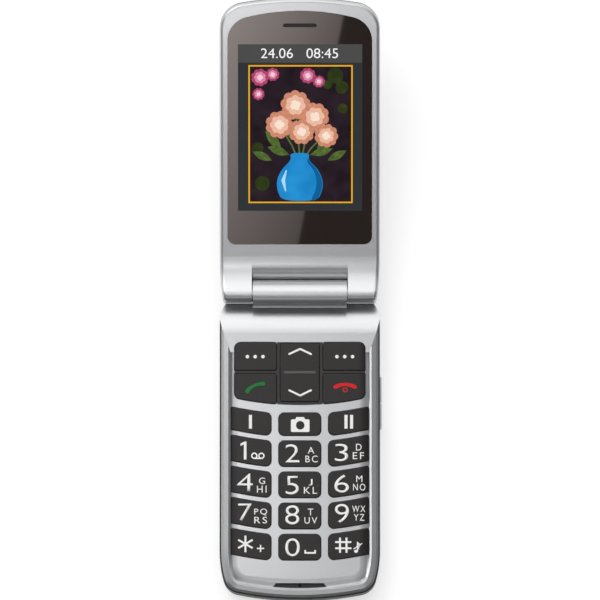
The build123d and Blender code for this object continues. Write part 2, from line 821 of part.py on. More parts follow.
def base_rear_housing():
    shell = base_shell()
    underside = back + cover_split + cover_gap
    body = shell - block(-half, half, -far, -cover_front, back, underside)
    body += shell & block(-tongue_half, tongue_half, -cover_front - tongue_reach, -cover_front,
                          back, back + tongue_height - cover_gap)
    x0, x1, y0, y1 = battery_place()
    ceiling = split_z - bay_ceiling
    reach = battery_gap + bay_wall
    room = slab(base_outline(wall), housing_room_floor, split_z)
    room &= block(-half, half, -far, -room_start, back, split_z)
    body -= room - block(x0 - reach, x1 + reach, y0 - reach, 0, back, split_z)
    bay = block(x0 - battery_gap, x1 + battery_gap, y0 - battery_gap, -bay_end, back, ceiling)
    divider = block(x0, x1, y1 + battery_gap, y1 + battery_gap + bay_wall, underside, ceiling)
    body -= bay - divider
    body -= around((sim_middle[0], -sim_middle[1]), sim_size, split_z - sim_size[2], cover_gap)
    contacts = (contact_size[0], contact_size[1] + contact_clear, contact_size[2])
    body -= around(contact_place(), contacts, split_z - contact_size[2], cover_gap)
    for x, y in base_screw_posts():
        if y < -room_start:
            body += post(boss_radius + screw_post_wall, x, y, underside, split_z)
        body -= post(screw_radius + screw_gap, x, y, back, split_z)
        body -= post(screw_head_radius + screw_gap, x, y, back, back + base_screw_seat)
    body -= block(half - wall - 1, half + 1, -volume_middle - volume_length / 2 - volume_gap,
                  -volume_middle + volume_length / 2 + volume_gap,
                  back + volume_level - volume_gap,
                  back + volume_level + volume_height + volume_gap)
    mouth = (usb_size[0], 2 * (usb_setback + wall), usb_size[2] + cover_gap)
    body -= around((0, -base_reach), mouth, split_z - usb_size[2] - cover_gap, cover_gap)
    for opening in sound_openings(back, split_z - 1):
        body -= opening
    return body


def battery_cover():
    """The sliding back: a shallow tray whose tongue hooks over a lip near the hinge."""
    start = -cover_front - cover_gap
    tray = base_shell() & block(-half, half, -far, start, back, back + cover_split)
    hollow = slab(base_outline(cover_rim), back + cover_floor, back + cover_split)
    tray -= hollow + block(-half + cover_rim, half - cover_rim, -cover_front - 5, 0,
                           back + cover_floor, back + cover_split)
    tray -= block(-tongue_half - cover_gap, tongue_half + cover_gap,
                  start - tongue_reach, 0, back, back + tongue_height)
    for opening in sound_openings(back, back + cover_split):
        tray -= opening
    for step in range(grip_ribs):
        away = step - (grip_ribs - 1) / 2
        groove = Pos(0, -grip_middle + away * grip_pitch) * SlotOverall(
            grip_length - 2 * abs(away), grip_width)
        tray -= slab(groove, back, back + grip_depth)
    return tray


# ---------------------------------------------------------------- keys
def top_edges(cap):
    """The edges where a key's sides meet its top."""
    sides = [f for f in cap.faces() if abs(f.normal_at(f.center()).Z) < 0.1]
    edges = [e for f in sides for e in f.edges() if e.center().Z > flange_top + 0.5
             and abs((e @ 1 - e @ 0).Z) < 0.7 * e.length]
    return edges


def pressed_key(plan, top):
    """A key cap through the plate, on a flange that holds it under the plate."""
    cap = slab(plan, flange_bottom, key_top) & top
    cap = fillet(top_edges(cap), key_edge)
    limit = Pos(0, -base_reach / 2) * Rectangle(2 * side_key_outer, 2 * base_reach)
    return cap + slab(offset(plan, amount=key_flange) & limit, flange_bottom, flange_top)


def nav_rocker():
    cap = slab(nav_rocker_plan(), back + rocker_bottom, key_top)
    cap = fillet(cap.faces().sort_by(Axis.Z)[-1].edges(), key_edge)
    cap += block(-rocker_half - key_flange, rocker_half + key_flange,
                 -rocker_middle - rocker_flange_half, -rocker_middle + rocker_flange_half,
                 back + rocker_bottom, flange_top - key_gap)
    bar = Pos(0, -rocker_middle) * SlotOverall(rocker_bar_length, rocker_bar_width)
    return cap + slab(bar, key_top - key_edge, key_top + rocker_bar_height)


def nav_bezel(plans):
    """The black ribs between the navigation keys."""
    body = slab(offset(nav_field(), amount=-cover_gap / 3), back + nav_floor,
                plate_z + nav_proud)
    for name, plan in plans.items():
        if name == "nav_rocker" or name.startswith("key_"):
            body -= slab(offset(plan, amount=key_gap), back, 0)
            continue
        side = 1 if plan.center().X > 0 else -1
        upward = 1 if name.startswith("soft") else -1
        hole = offset(plan, amount=key_gap)
        for x, y in ((0, 0), (side, 0), (0, upward), (side, upward)):
            body -= slab(Pos(x, y) * hole, back, 0)
    return body


def key_places(plans):
    """Where the switch dome of each key lies; the rocker has one at each end."""
    places = []
    for name, plan in plans.items():
        middle = plan.bounding_box().center()
        if name == "nav_rocker":
            reach = rocker_length / 2 - dome_radius
            places += [(0, middle.Y + reach), (0, middle.Y - reach)]
        else:
            places.append((middle.X, middle.Y))
    return places


def switch_field():
    length = mat_end - cavity_start - 2 * battery_gap
    return Pos(0, -cavity_start - battery_gap - length / 2) * Rectangle(2 * mat_half, length)


def keypad_mat(plans):
    """The silicone sheet under the keys, with a plunger over each switch dome."""
    body = slab(switch_field(), mat_bottom, mat_top)
    for x, y in key_places(plans):
        body += post(plunger_radius, x, y, dome_top, mat_bottom)
    return body


def dome_sheet(plans):
    """The film that holds a metal dome under each key."""
    body = slab(switch_field(), board_top, film_top)
    for x, y in key_places(plans):
        body += post(dome_radius, x, y, film_top, dome_top)
    return body


# ---------------------------------------------------------------- inside the base
def main_board():
    plan = base_outline(board_inset) & (Pos(0, -board_start - base_reach / 2) * Rectangle(
        width, base_reach))
    body = slab(plan, split_z, board_top)
    for x, y in base_screw_posts():
        if y < -room_start:
            body -= post(boss_radius + key_gap, x, y, split_z - 1, board_top + 1)
    return body


def shield_can():
    can = around((can_middle[0], -can_middle[1]), can_size, split_z - can_size[2])
    return fillet(can.edges().filter_by(Axis.Z), can_corner)


def battery():
    x0, x1, y0, y1 = battery_place()
    low = back + battery_floor
    cell = block(x0, x1, y0, y1, low, low + battery_size[2])
    return fillet(cell.edges().filter_by(Axis.Y), battery_edge)


def battery_contacts():
    """A moulded block with three leaf springs that press on the battery's end."""
    x, y = contact_place()
    body = around((x, y), contact_size, split_z - contact_size[2])
    front = y - contact_size[1] / 2
    low = split_z - contact_size[2] + leaf_start
    for step in (-1, 0, 1):
        leaf = x + step * contact_pitch
        body += block(leaf - leaf_half, leaf + leaf_half, front - battery_gap, front,
                      low, low + leaf_height)
    return body


def sim_holder():
    """A folded tin frame under the board, open towards the hinge."""
    middle = (sim_middle[0], -sim_middle[1])
    body = around(middle, sim_size, split_z - sim_size[2])
    slot = (sim_size[0] - 2 * sim_rim, sim_size[1], sim_card_height)
    return body - around((middle[0], middle[1] + sim_rim), slot,
                         split_z - sim_size[2] + sim_sheet)


def loudspeaker():
    middle = (speaker_middle[0], -speaker_middle[1])
    body = around(middle, speaker_size, housing_room_floor)
    body = fillet(body.edges().filter_by(Axis.Z), speaker_corner)
    mouth = (speaker_size[0] - 2 * speaker_rim, speaker_size[1] - 2 * speaker_rim, speaker_recess)
    return body - around(middle, mouth, housing_room_floor)


def vibration_motor():
    return post(motor_radius, motor_middle[0], -motor_middle[1],
                housing_room_floor, housing_room_floor + motor_height)


def usb_port():
    """The metal shell of the charging socket, with its contact tongue."""
    y = -base_reach + usb_setback + usb_size[1] / 2
    shell = around((0, y), usb_size, split_z - usb_size[2])
    shell = fillet(shell.edges().filter_by(Axis.Y), usb_corner)
    inner = (usb_size[0] - 2 * usb_sheet, usb_size[1], usb_size[2] - 2 * usb_sheet)
    shell -= around((0, y - usb_end), inner, split_z - usb_size[2] + usb_sheet)
    tongue = (usb_tongue[0], usb_size[1] - usb_end, usb_tongue[1])
    return shell + around((0, y + usb_end / 2), tongue,
                          split_z - (usb_size[2] + usb_tongue[1]) / 2)


def antenna():
    """A flat metal pattern on the housing's floor: two arms joined at one end."""
    left, right = antenna_left, half - antenna_side
    low, high = (-base_reach + margin for margin in antenna_margin)
    top = housing_room_floor + antenna_sheet
    body = block(left, right, low, low + antenna_arm, housing_room_floor, top)
    body += block(left, left + antenna_arm, low, high, housing_room_floor, top)
    body += block(left, right - antenna_arm, high - antenna_arm, high, housing_room_floor, top)
    return body


def microphone():
    return around((0, -microphone_middle), microphone_size, board_top)


def volume_rocker():
    """A bar through the side wall, held behind it by a short flange at its middle."""
    low = back + volume_level
    outer = half + volume_proud
    bar = block(outer - volume_depth - volume_proud, outer,
                -volume_middle - volume_length / 2, -volume_middle + volume_length / 2,
                low, low + volume_height)
    bar = fillet(bar.faces().sort_by(Axis.X)[-1].edges(), volume_edge)
    notch = post(volume_notch, outer, -volume_middle, low, low + volume_height)
    inner = half - wall
    flange = block(inner - volume_flange, inner - volume_tilt_gap,
                   -volume_middle - volume_flange_half, -volume_middle + volume_flange_half,
                   low - volume_lip, low + volume_height + volume_lip)
    return bar - notch + flange


def side_switch_board():
    """An upright board behind the volume rocker, with a switch for each end."""
    inner = switch_board_place + switch_board_sheet
    body = block(switch_board_place, inner, -volume_middle - volume_length / 2,
                 -volume_middle + volume_length / 2, housing_room_floor, split_z)
    for side in (-1, 1):
        y = -volume_middle + side * volume_length / 4
        body += block(inner, inner + switch_height, y - switch_half, y + switch_half,
                      back + volume_level, back + volume_level + volume_height)
    return body


def screw(x, y, seat, tip):
    """A small pan-head screw that points up, with a cross recess."""
    head = post(screw_head_radius, x, y, seat - screw_head_height, seat)
    head = fillet(head.faces().sort_by(Axis.Z)[0].edges(), screw_head_edge)
    low = seat - screw_head_height
    long, thin = cross_half
    cross = block(x - long, x + long, y - thin, y + thin, low, low + cross_depth)
    cross += block(x - thin, x + thin, y - long, y + long, low, low + cross_depth)
    return head + post(screw_radius, x, y, seat, tip) - cross


def base_screws():
    seat, tip = back + base_screw_seat, back + base_screw_tip
    return Compound([screw(x, y, seat, tip) for x, y in base_screw_posts()])


# ---------------------------------------------------------------- lid housings
def lid_screw_posts():
    return [(side * x, y) for x, y in lid_screw_places for side in (1, -1)]


def ear_slot(low, high, gap=0.0):
    slot = SlotOverall(2 * (ear_half - gap), ear_width - 2 * gap)
    return slab(Pos(0, ear_middle) * slot, low, high)


def knuckle_bores():
    """The left knuckle grips the hinge shaft, the right one turns on the bush."""
    return (rod(shaft_radius + 0.02, -shaft_end - 0.1, -barrel_half)
            + rod(bush_radius + running_clearance, barrel_half, bush_end + hinge_clearance))


def lid_front_housing():
    body = slab(lid_outline(), lid_split_z, barrel_radius)
    body &= across(lid_profile(), -half, half)
    upper = [e for e in body.edges() if e.center().Z > lid_split_z + lid_split / 2]
    rim = [e for e in upper if abs(e.center().X) > half / 2 and abs((e @ 1 - e @ 0).X) < half
           or e.center().Y > lid_reach - lid_edge_radius]
    body = fillet(rim, lid_edge_radius)
    low_knuckle = rod(knuckle_radius, slot_half, half - knuckle_end_radius - 1.0)
    body += both_sides(low_knuckle)
    body -= across(lid_slot_profile(), -slot_half, slot_half)
    window_floor = lid_face - window_recess - window_thickness
    body -= slab(window_outline(), window_floor, 0)
    body -= slab(window_outline(window_ledge), lid_split_z - 1, 0)
    for x, y in lid_screw_posts():
        body += post(boss_radius, x, y, lid_split_z - lid_boss_length, lid_split_z)
        body -= post(boss_hole, x, y, lid_split_z - lid_boss_length - 1,
                     lid_back + lid_screw_tip + screw_gap)
    return body - knuckle_bores()


def lid_panel_plan(inset=0.0):
    plan = lid_outline(panel_inset + inset)
    return plan & (Pos(0, panel_near + inset + lid_reach / 2) * Rectangle(width, lid_reach))


def lid_rear_housing():
    body = slab(lid_outline(), lid_back, lid_split_z)
    low = body.faces().sort_by(Axis.Z)[0]
    rim = [e for e in low.edges() if e.center().Y > -knuckle_radius + 0.1]
    body = fillet(rim, lid_back_radius) & across(lid_profile(), -half, half)
    body -= across(lid_slot_profile(), -slot_half, slot_half)
    body -= rod(knuckle_radius + running_clearance, -half, half)
    room = slab(lid_outline(wall), lid_room_floor, lid_split_z)
    body -= room & block(-half, half, lid_room_start, far, lid_back, 0)
    body -= slab(lid_panel_plan(), lid_back - 1, lid_back + panel_thickness)
    body -= around((0, camera_middle), camera_size, lid_back, cover_gap)
    boss_end = lid_split_z - lid_boss_length
    for x, y in lid_screw_posts():
        body += post(boss_radius + lid_post_wall, x, y, lid_room_floor, boss_end)
        body -= post(screw_radius + screw_gap, x, y, lid_back, lid_split_z)
        body -= post(screw_head_radius + screw_gap, x, y, lid_back, lid_back + lid_screw_seat)
    return body


def lid_outer_panel():
    """The glossy inlay on the lid's back, with a hole for the camera lens."""
    plan = lid_panel_plan(window_gap)
    body = slab(plan, lid_back, lid_back + panel_thickness)
    return body - post(lens_radius + window_gap, 0, camera_middle, lid_back - 1, 0)


def display_window():
    top = lid_face - window_recess
    body = slab(window_outline(window_gap), top - window_thickness, top)
    return body - ear_slot(top - window_thickness - 1, top + 1)


def earpiece_mesh():
    top = lid_face - window_recess - 0.3
    return ear_slot(top - 0.4, top, gap=0.05)


def display_panel():
    top = lid_face - window_recess - window_thickness
    return block(-display_half, display_half, display_near, display_far,
                 top - display_thickness, top)


def display_frame():
    """A thin metal tray that holds the display from behind."""
    top = lid_face - window_recess - window_thickness - display_thickness
    rim = window_half - window_ledge - display_half - display_gap / 2
    tray = block(-display_half - rim, display_half + rim, display_near - rim,
                 display_far + rim, top - frame_sheet, lid_split_z - display_gap)
    return tray - block(-display_half - 0.02, display_half + 0.02, display_near - 0.02,
                        display_far + 0.02, top, 0)


def earpiece_receiver():
    top = lid_face - window_recess - window_thickness
    body = around((0, ear_middle), receiver_size, top - receiver_size[2])
    return fillet(body.edges().filter_by(Axis.Z), receiver_corner)


def camera_module():
    low = lid_back + lens_thickness
    body = around((0, camera_middle), camera_size, low)
    return body - post(camera_mouth, 0, camera_middle, low, low + camera_mouth_depth)


def camera_lens():
    body = post(lens_radius, 0, camera_middle, lid_back, lid_back + lens_thickness)
    return fillet(body.faces().sort_by(Axis.Z)[0].edges(), lens_edge)


def lid_board():
    """The board behind the display, with two chips."""
    top = lid_face - window_recess - window_thickness - display_thickness - frame_sheet
    low = top - board_thickness
    start = display_near + lid_board_start
    body = block(-half + lid_board_side, half - lid_board_side, start, start + lid_board_length,
                 low, top)
    for x, y, side in lid_chips:
        body += around((x, y), (side, side, chip_height), low - chip_height)
    return body


def lid_magnet():
    """The magnet that tells the base's sensor when the phone is shut."""
    return around((0, lid_reach - magnet_end), magnet_size, lid_room_floor)


def lid_screws():
    seat, tip = lid_back + lid_screw_seat, lid_back + lid_screw_tip
    return Compound([screw(x, y, seat, tip) for x, y in lid_screw_posts()])


# ---------------------------------------------------------------- hinge
def hinge_capsule():
    """A tube pressed into the barrel's left half, closed but for the shaft's hole."""
    left = -barrel_half + running_clearance
    tube = rod(barrel_bore - running_clearance, left, -capsule_end)
    tube -= rod(capsule_inner, left + cap_thickness, -capsule_end - cap_thickness)
    return tube - rod(shaft_radius + running_clearance, left - 1, left + cap_thickness + 1)


def hinge_shaft():
    """The shaft that the left knuckle grips, with its two-lobed cam inside the capsule."""
    shaft = rod(shaft_radius, -shaft_end, -cam_start + 1)
    cam = rod(cam_radius, -cam_start, -cam_start + cam_length)
    tip = -cam_start + cam_length
    notch = block(tip - cam_depth, tip, -cam_radius, cam_radius, -cam_notch, cam_notch)
    return shaft + cam - notch


def hinge_cam_follower():
    """The follower's ridge faces the notch of the cam."""
    start = -cam_start + cam_length + hinge_clearance
    body = rod(cam_radius, start, start + follower_length)
    flats = block(start, start + cam_depth, -cam_radius, cam_radius, cam_notch, cam_radius)
    return body - flats - mirror(flats, about=Plane.XY)


def hinge_spring():
    """The spring between the follower and the capsule's closed end."""
    room = spring_wire + running_clearance
    start = -cam_start + cam_length + hinge_clearance + follower_length + room
    end = -capsule_end - cap_thickness - room
    path = Helix(pitch=(end - start) / spring_turns, height=end - start, radius=spring_radius)
    section = Plane(origin=path @ 0, z_dir=path % 0) * Circle(spring_wire)
    coil = sweep(section, path=path, is_frenet=True)
    return Pos(start, 0, 0) * Rotation(0, 90, 0) * coil


def hinge_bush():
    """A hollow pivot in the barrel's right end; the wiring passes through it."""
    body = rod(barrel_bore - running_clearance, bush_start, barrel_half - running_clearance)
    body += rod(bush_radius, barrel_half - 1, bush_end)
    return body - rod(bush_bore, bush_start - 1, bush_end + 1)


def hinge_flex():
    """The flat cable, rolled up where it passes through the barrel and the bush."""
    roll = rod(flex_radius, capsule_end, bush_end)
    return roll - rod(flex_radius - flex_sheet, capsule_end, bush_end)


# ---------------------------------------------------------------- assembly
def base_pieces():
    plans = key_plans()
    top = crown(key_top)
    pieces = {
        "base_front_housing": base_front_housing(plans),
        "base_trim_frame": base_trim_frame(),
        "base_rear_housing": base_rear_housing(),
        "battery_cover": battery_cover(),
        "nav_bezel": nav_bezel(plans),
        "mic_slot_insert": mic_slot_insert(),
        "keypad_mat": keypad_mat(plans),
        "dome_sheet": dome_sheet(plans),
        "main_board": main_board(),
        "shield_can": shield_can(),
        "battery": battery(),
        "battery_contacts": battery_contacts(),
        "sim_holder": sim_holder(),
        "loudspeaker": loudspeaker(),
        "vibration_motor": vibration_motor(),
        "usb_port": usb_port(),
        "antenna": antenna(),
        "microphone": microphone(),
        "volume_rocker": volume_rocker(),
        "side_switch_board": side_switch_board(),
        "base_screws": base_screws(),
        "hinge_capsule": hinge_capsule(),
        "hinge_cam_follower": hinge_cam_follower(),
        "hinge_spring": hinge_spring(),
        "hinge_bush": hinge_bush(),
        "hinge_flex": hinge_flex(),
        "nav_rocker": nav_rocker(),
    }
    for name, plan in plans.items():
        if name != "nav_rocker":
            pieces[name] = pressed_key(plan, top)
    return pieces


def lid_pieces():
    return {
        "lid_front_housing": lid_front_housing(),
        "lid_rear_housing": lid_rear_housing(),
        "lid_outer_panel": lid_outer_panel(),
        "display_window": display_window(),
        "display_panel": display_panel(),
        "display_frame": display_frame(),
        "earpiece_mesh": earpiece_mesh(),
        "earpiece_receiver": earpiece_receiver(),
        "camera_module": camera_module(),
        "camera_lens": camera_lens(),
        "lid_board": lid_board(),
        "lid_magnet": lid_magnet(),
        "lid_screws": lid_screws(),
        "hinge_shaft": hinge_shaft(),
    }


def main():
    os.makedirs("parts", exist_ok=True)
    place = Pos(0, axis_place, axis_height)
    for name, piece in base_pieces().items():
        export_step(place * piece, f"parts/{name}.step")
    for name, piece in lid_pieces().items():
        export_step(place * Rotation(rest_angle, 0, 0) * piece, f"parts/{name}.step")


if __name__ == "__main__":
    main()
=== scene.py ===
"""Dresses a clamshell phone: lacquers, printed keys, window, lit display and its stage."""

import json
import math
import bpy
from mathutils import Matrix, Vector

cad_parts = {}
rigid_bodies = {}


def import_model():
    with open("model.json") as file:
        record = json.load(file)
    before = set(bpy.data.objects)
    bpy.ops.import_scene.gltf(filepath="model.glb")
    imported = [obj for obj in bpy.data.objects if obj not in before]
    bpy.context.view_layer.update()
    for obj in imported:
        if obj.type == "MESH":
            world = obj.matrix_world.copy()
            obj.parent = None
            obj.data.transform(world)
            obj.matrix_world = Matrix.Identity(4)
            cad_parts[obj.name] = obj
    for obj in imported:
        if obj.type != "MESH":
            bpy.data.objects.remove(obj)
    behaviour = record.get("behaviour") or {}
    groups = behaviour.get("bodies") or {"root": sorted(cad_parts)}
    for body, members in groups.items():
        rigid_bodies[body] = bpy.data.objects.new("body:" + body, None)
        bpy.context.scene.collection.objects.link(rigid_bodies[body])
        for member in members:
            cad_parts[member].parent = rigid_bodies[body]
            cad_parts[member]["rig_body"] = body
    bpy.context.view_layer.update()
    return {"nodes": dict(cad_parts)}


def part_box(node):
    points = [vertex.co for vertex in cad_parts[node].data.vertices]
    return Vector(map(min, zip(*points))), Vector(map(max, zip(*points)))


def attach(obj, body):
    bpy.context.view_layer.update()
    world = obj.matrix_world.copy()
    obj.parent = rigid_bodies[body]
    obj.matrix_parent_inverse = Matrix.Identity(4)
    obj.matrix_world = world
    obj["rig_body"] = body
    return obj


bl_info = {
    "name": "Clamshell phone",
    "version": (1, 0, 0),
    "blender": (4, 5, 0),
    "location": "View3D > Sidebar > Phone",
    "description": "Finishes, key legends, display and stage of a clamshell phone",
    "category": "Object",
}

import bpy
from mathutils import Matrix, Vector

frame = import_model()

MM = 0.001
NODES = frame["nodes"]
HINGE = Vector((0, 0.05, 0.01145))     # a point on the hinge axis, which runs along X
REST_ANGLE = math.radians(15)          # the lid above the base's plane
LID_PLACE = Matrix.Translation(HINGE) @ Matrix.Rotation(REST_ANGLE, 4, "X")
KEYS = [name for name in NODES if name.startswith("key_")] + [
    "softkey_left", "softkey_right", "call_key", "end_key", "nav_rocker"]

NOISE_LOW = 0.3               # noise seldom leaves these two values
NOISE_HIGH = 0.7

# printing on the keys
PRINT_LIFT = 0.004 * MM       # between a key's top and the ink
PRINT_STAGGER = 0.002         # each next mark is thicker by this, in mm, so no two tops coincide
PRINT_STEP = 0.6 * MM         # width of the strips that let a mark follow a crowned key
DIGIT_WEIGHT = -0.008         # thins the font's strokes
LETTER_SPACING = 1.3

# lacquers
PLATE_ROUGHNESS = 0.30
TRIM_ROUGHNESS = 0.296
TRIM_PAINTED_HIGHLIGHT = 1.35           # how much lighter the trim's lacquer is than the plate's, a painted highlight

# parts of the housings
BAND_TOP = 9.8 * MM           # the black side band ends at this height
SHOULDER = 42 * MM            # where the silver shoulder at the hinge begins, along Y
BOTTOM_BEND = -35 * MM        # where the trim frame begins to turn round the bottom end, along Y
UPRIGHT = 0.3                 # a face whose normal rises less than this is a wall
LEVEL = 0.99                  # and one whose normal rises more than this is flat

# display
CLEAR_MIDDLE = (0.1 * MM, 102.65 * MM)     # the window's clear area, in the lid's rest place
CLEAR_HALF = (20.15 * MM, 26.25 * MM)
FILM = 0.004                  # thickness of each layer of the display's picture, in mm
CLOCK_WEIGHT = -0.004

# stage, in metres where nothing else is said
RAMP_TOP = 3.0                # the level that a colour ramp's 1 stands for
FLOOR_SIZE = 6
FLOOR_DROP = 0.02 * MM        # keeps the floor clear of the base's flat back
FLOOR_GLOW = 0.6              # makes the floor white to the eye
LENS = 600                    # focal length in millimetres
CAMERA_ELEVATION = math.radians(82.5)
CAMERA_DISTANCE = 3.25
AIM_UP = -1.95 * MM           # where the camera aims, counted from the hinge
AIM_RIGHT = 0.065 * MM
WINDOW_MIDDLE = HINGE + Vector((0, 0.053, 0.0142))
WINDOW_MIRROR = math.radians(22.5)         # what the camera sees in the window, from upright
CARD_DISTANCE = 1.3
CARD_WIDTH = 0.065
CARD_HEIGHT = 0.16
CARD_POWER = 0.195                         # in watts
CARD_TURN = math.radians(-11.2)            # slants its edge in the window
CARD_SLIDE = Vector((-CARD_WIDTH / 2, 0.0125, 0))     # along the card: its side edge shows
CARD_SHIFT = Vector((0.0054, 0, 0))


# ------------------------------------------------------------------ colour and nodes
def linear(code):
    """An sRGB hex value as linear red, green, blue and alpha."""
    channels = [int(code[i:i + 2], 16) / 255 for i in (0, 2, 4)]
    return [c / 12.92 if c <= 0.04045 else ((c + 0.055) / 1.055) ** 2.4 for c in channels] + [1]


def as_linear(tone):
    """Turns a tone to linear if it is written as hex."""
    return linear(tone) if isinstance(tone, str) else tone


def add_node(tree, kind, inputs=None, **settings):
    """Adds a node; an input is a value, or another node's output to link."""
    made = tree.nodes.new(kind)
    for name, value in settings.items():
        setattr(made, name, value)
    for name, value in (inputs or {}).items():
        if isinstance(value, bpy.types.NodeSocket):
            tree.links.new(value, made.inputs[name])
        else:
            made.inputs[name].default_value = value
    return made


def start_material(name, **inputs):
    """A material with one Principled shader, whose sockets are given by name."""
    material = bpy.data.materials.new(name)
    material.use_nodes = True
    tree = material.node_tree
    tree.nodes.clear()
    sockets = {key.replace("_", " "): value for key, value in inputs.items()}
    shader = add_node(tree, "ShaderNodeBsdfPrincipled", sockets)
    add_node(tree, "ShaderNodeOutputMaterial", {"Surface": shader.outputs[0]})
    return material, tree, shader


def grain(tree, size, detail=2.0, stretch=(1, 1, 1)):
    """Noise in object space, whose blotches are about size millimetres wide."""
    place = add_node(tree, "ShaderNodeTexCoord")
    turned = add_node(tree, "ShaderNodeMapping",
                      {"Vector": place.outputs["Object"], "Scale": stretch})
    noise = add_node(tree, "ShaderNodeTexNoise",
                     {"Vector": turned.outputs[0], "Scale": 1 / (size * MM), "Detail": detail})
    return noise.outputs["Fac"]


def shade(tone, share):
    """A linear colour made darker or lighter."""
    return [channel * share for channel in tone[:3]] + [1]


def vary(tree, shader, pattern, socket, low, high):
    """Lets a pattern carry a socket between two values, or two colours as hex or linear."""
    if not isinstance(low, float):
        # 6 and 7 are the Mix node's two colours, and output 2 is the mixed colour
        mixed = add_node(tree, "ShaderNodeMix",
                         {"Factor": pattern, 6: as_linear(low), 7: as_linear(high)},
                         data_type="RGBA")
        tree.links.new(mixed.outputs[2], shader.inputs[socket])
        return
    mapped = add_node(tree, "ShaderNodeMapRange",
                      {"Value": pattern, "From Min": NOISE_LOW, "From Max": NOISE_HIGH,
                       "To Min": low, "To Max": high})
    tree.links.new(mapped.outputs[0], shader.inputs[socket])


def roughen(tree, shader, pattern, depth):
    """A bump of that depth in millimetres."""
    bump = add_node(tree, "ShaderNodeBump",
                    {"Height": pattern, "Distance": depth * MM, "Strength": 1.0})
    tree.links.new(bump.outputs[0], shader.inputs["Normal"])


# ------------------------------------------------------------------ finishes
def silver_lacquer(name, tone, roughness):
    """ABS sprayed with metallic silver lacquer. The flakes give a fine grain under a clear top."""
    material, tree, shader = start_material(
        name, Metallic=0.85, Coat_Weight=0.35, Coat_Roughness=0.12)
    # real flakes are too fine to show, so these are coarser
    flakes = grain(tree, 0.35, detail=3.0)
    vary(tree, shader, flakes, "Base Color", shade(tone, 0.88), list(tone))
    vary(tree, shader, grain(tree, 0.8), "Roughness", roughness - 0.02, roughness + 0.02)
    return material


def moulded_plastic(name, light, dark, roughness, texture, depth, ior=1.46):
    """Moulded plastic, rubber or film, whose fine texture (in millimetres) breaks the gloss."""
    material, tree, shader = start_material(name, IOR=ior)
    fine = grain(tree, texture, detail=3.0)
    vary(tree, shader, fine, "Base Color", dark, light)
    vary(tree, shader, grain(tree, texture * 12), "Roughness", roughness - 0.03, roughness + 0.03)
    roughen(tree, shader, fine, depth)
    return material


def gloss_plastic(name, light, dark, roughness=0.07):
    """Polished plastic or glass: smooth, with a hardly uneven gloss."""
    material, tree, shader = start_material(name, IOR=1.54)
    vary(tree, shader, grain(tree, 6.0), "Base Color", dark, light)
    vary(tree, shader, grain(tree, 0.5), "Roughness", roughness * 0.95, roughness * 1.05)
    return material


def metal(name, light, dark, roughness, stretch=(1, 1, 1)):
    """Bare sheet or turned metal, its drawing marks along one axis."""
    material, tree, shader = start_material(name, Metallic=1.0)
    marks = grain(tree, 0.4, detail=4.0, stretch=stretch)
    vary(tree, shader, marks, "Base Color", dark, light)
    vary(tree, shader, marks, "Roughness", roughness - 0.06, roughness + 0.06)
    roughen(tree, shader, marks, 0.002)
    return material


def ink(name, tone):
    """Screen-printed ink: matt, with a slightly uneven laydown."""
    material, tree, shader = start_material(name, Roughness=0.6, IOR=1.36)
    vary(tree, shader, grain(tree, 0.5), "Base Color", shade(tone, 0.93), list(tone))
    return material


def lit(name, low, high, size=0.6):
    """A lit area of the display, with blotches of that size: it gives light and reflects none."""
    material, tree, shader = start_material(
        name, Base_Color=(0, 0, 0, 1), Roughness=0.5, Specular_IOR_Level=0.0,
        Emission_Strength=1.0)
    vary(tree, shader, grain(tree, size, detail=1.0), "Emission Color", low, high)
    return material


def paint(piece, material):
    """Gives a piece one material."""
    piece.data.materials.clear()
    piece.data.materials.append(material)


def dress(material, *names):
    """Gives CAD nodes a finish."""
    for name in names:
        paint(NODES[name], material)


# ------------------------------------------------------------------ modelling helpers
def clear_selection():
    """Leaves edit mode and selects nothing."""
    if bpy.context.object and bpy.context.object.mode != "OBJECT":
        bpy.ops.object.mode_set(mode="OBJECT")
    bpy.ops.object.select_all(action="DESELECT")


def pick(piece):
    """Makes a piece the only selected one and the active one."""
    clear_selection()
    piece.select_set(True)
    bpy.context.view_layer.objects.active = piece


def settle(piece, name, place=None):
    """Names a piece and puts its place into its mesh, so that its object is at the origin."""
    pick(piece)
    bpy.ops.object.transform_apply(location=True, rotation=True, scale=True)
    if place:
        piece.data.transform(place)
    piece.name = name
    piece.data.name = name
    return piece


def outline_piece(loops):
    """A flat face, drawn as closed outlines in millimetres; an outline in another is a hole."""
    clear_selection()
    bpy.ops.curve.primitive_bezier_circle_add(radius=MM)
    piece = bpy.context.object
    curve = piece.data
    curve.dimensions = "2D"
    curve.fill_mode = "BOTH"
    curve.splines.clear()
    for loop in loops:
        spline = curve.splines.new("POLY")
        spline.points.add(len(loop) - 1)
        for point, (x, y) in zip(spline.points, loop):
            point.co = (x * MM, y * MM, 0, 1)
        spline.use_cyclic_u = True
    bpy.ops.object.convert(target="MESH")
    return bpy.context.object


def glyph_piece(text, box, weight, spacing=1.0):
    """Letters or digits that fill a box (left, right, low, high) in millimetres.

    weight moves the outline outwards, or inwards if it is negative.
    """
    clear_selection()
    bpy.ops.object.text_add()
    piece = bpy.context.object
    piece.data.body = text
    piece.data.offset = weight
    piece.data.space_character = spacing
    piece.data.resolution_u = 6
    bpy.ops.object.convert(target="MESH")
    piece = bpy.context.object
    left, right, low, high = (side * MM for side in box)
    xs = [v.co.x for v in piece.data.vertices]
    ys = [v.co.y for v in piece.data.vertices]
    scale_x = (right - left) / (max(xs) - min(xs))
    scale_y = (high - low) / (max(ys) - min(ys))
    for v in piece.data.vertices:
        v.co = (left + (v.co.x - min(xs)) * scale_x, low + (v.co.y - min(ys)) * scale_y, 0)
    return piece


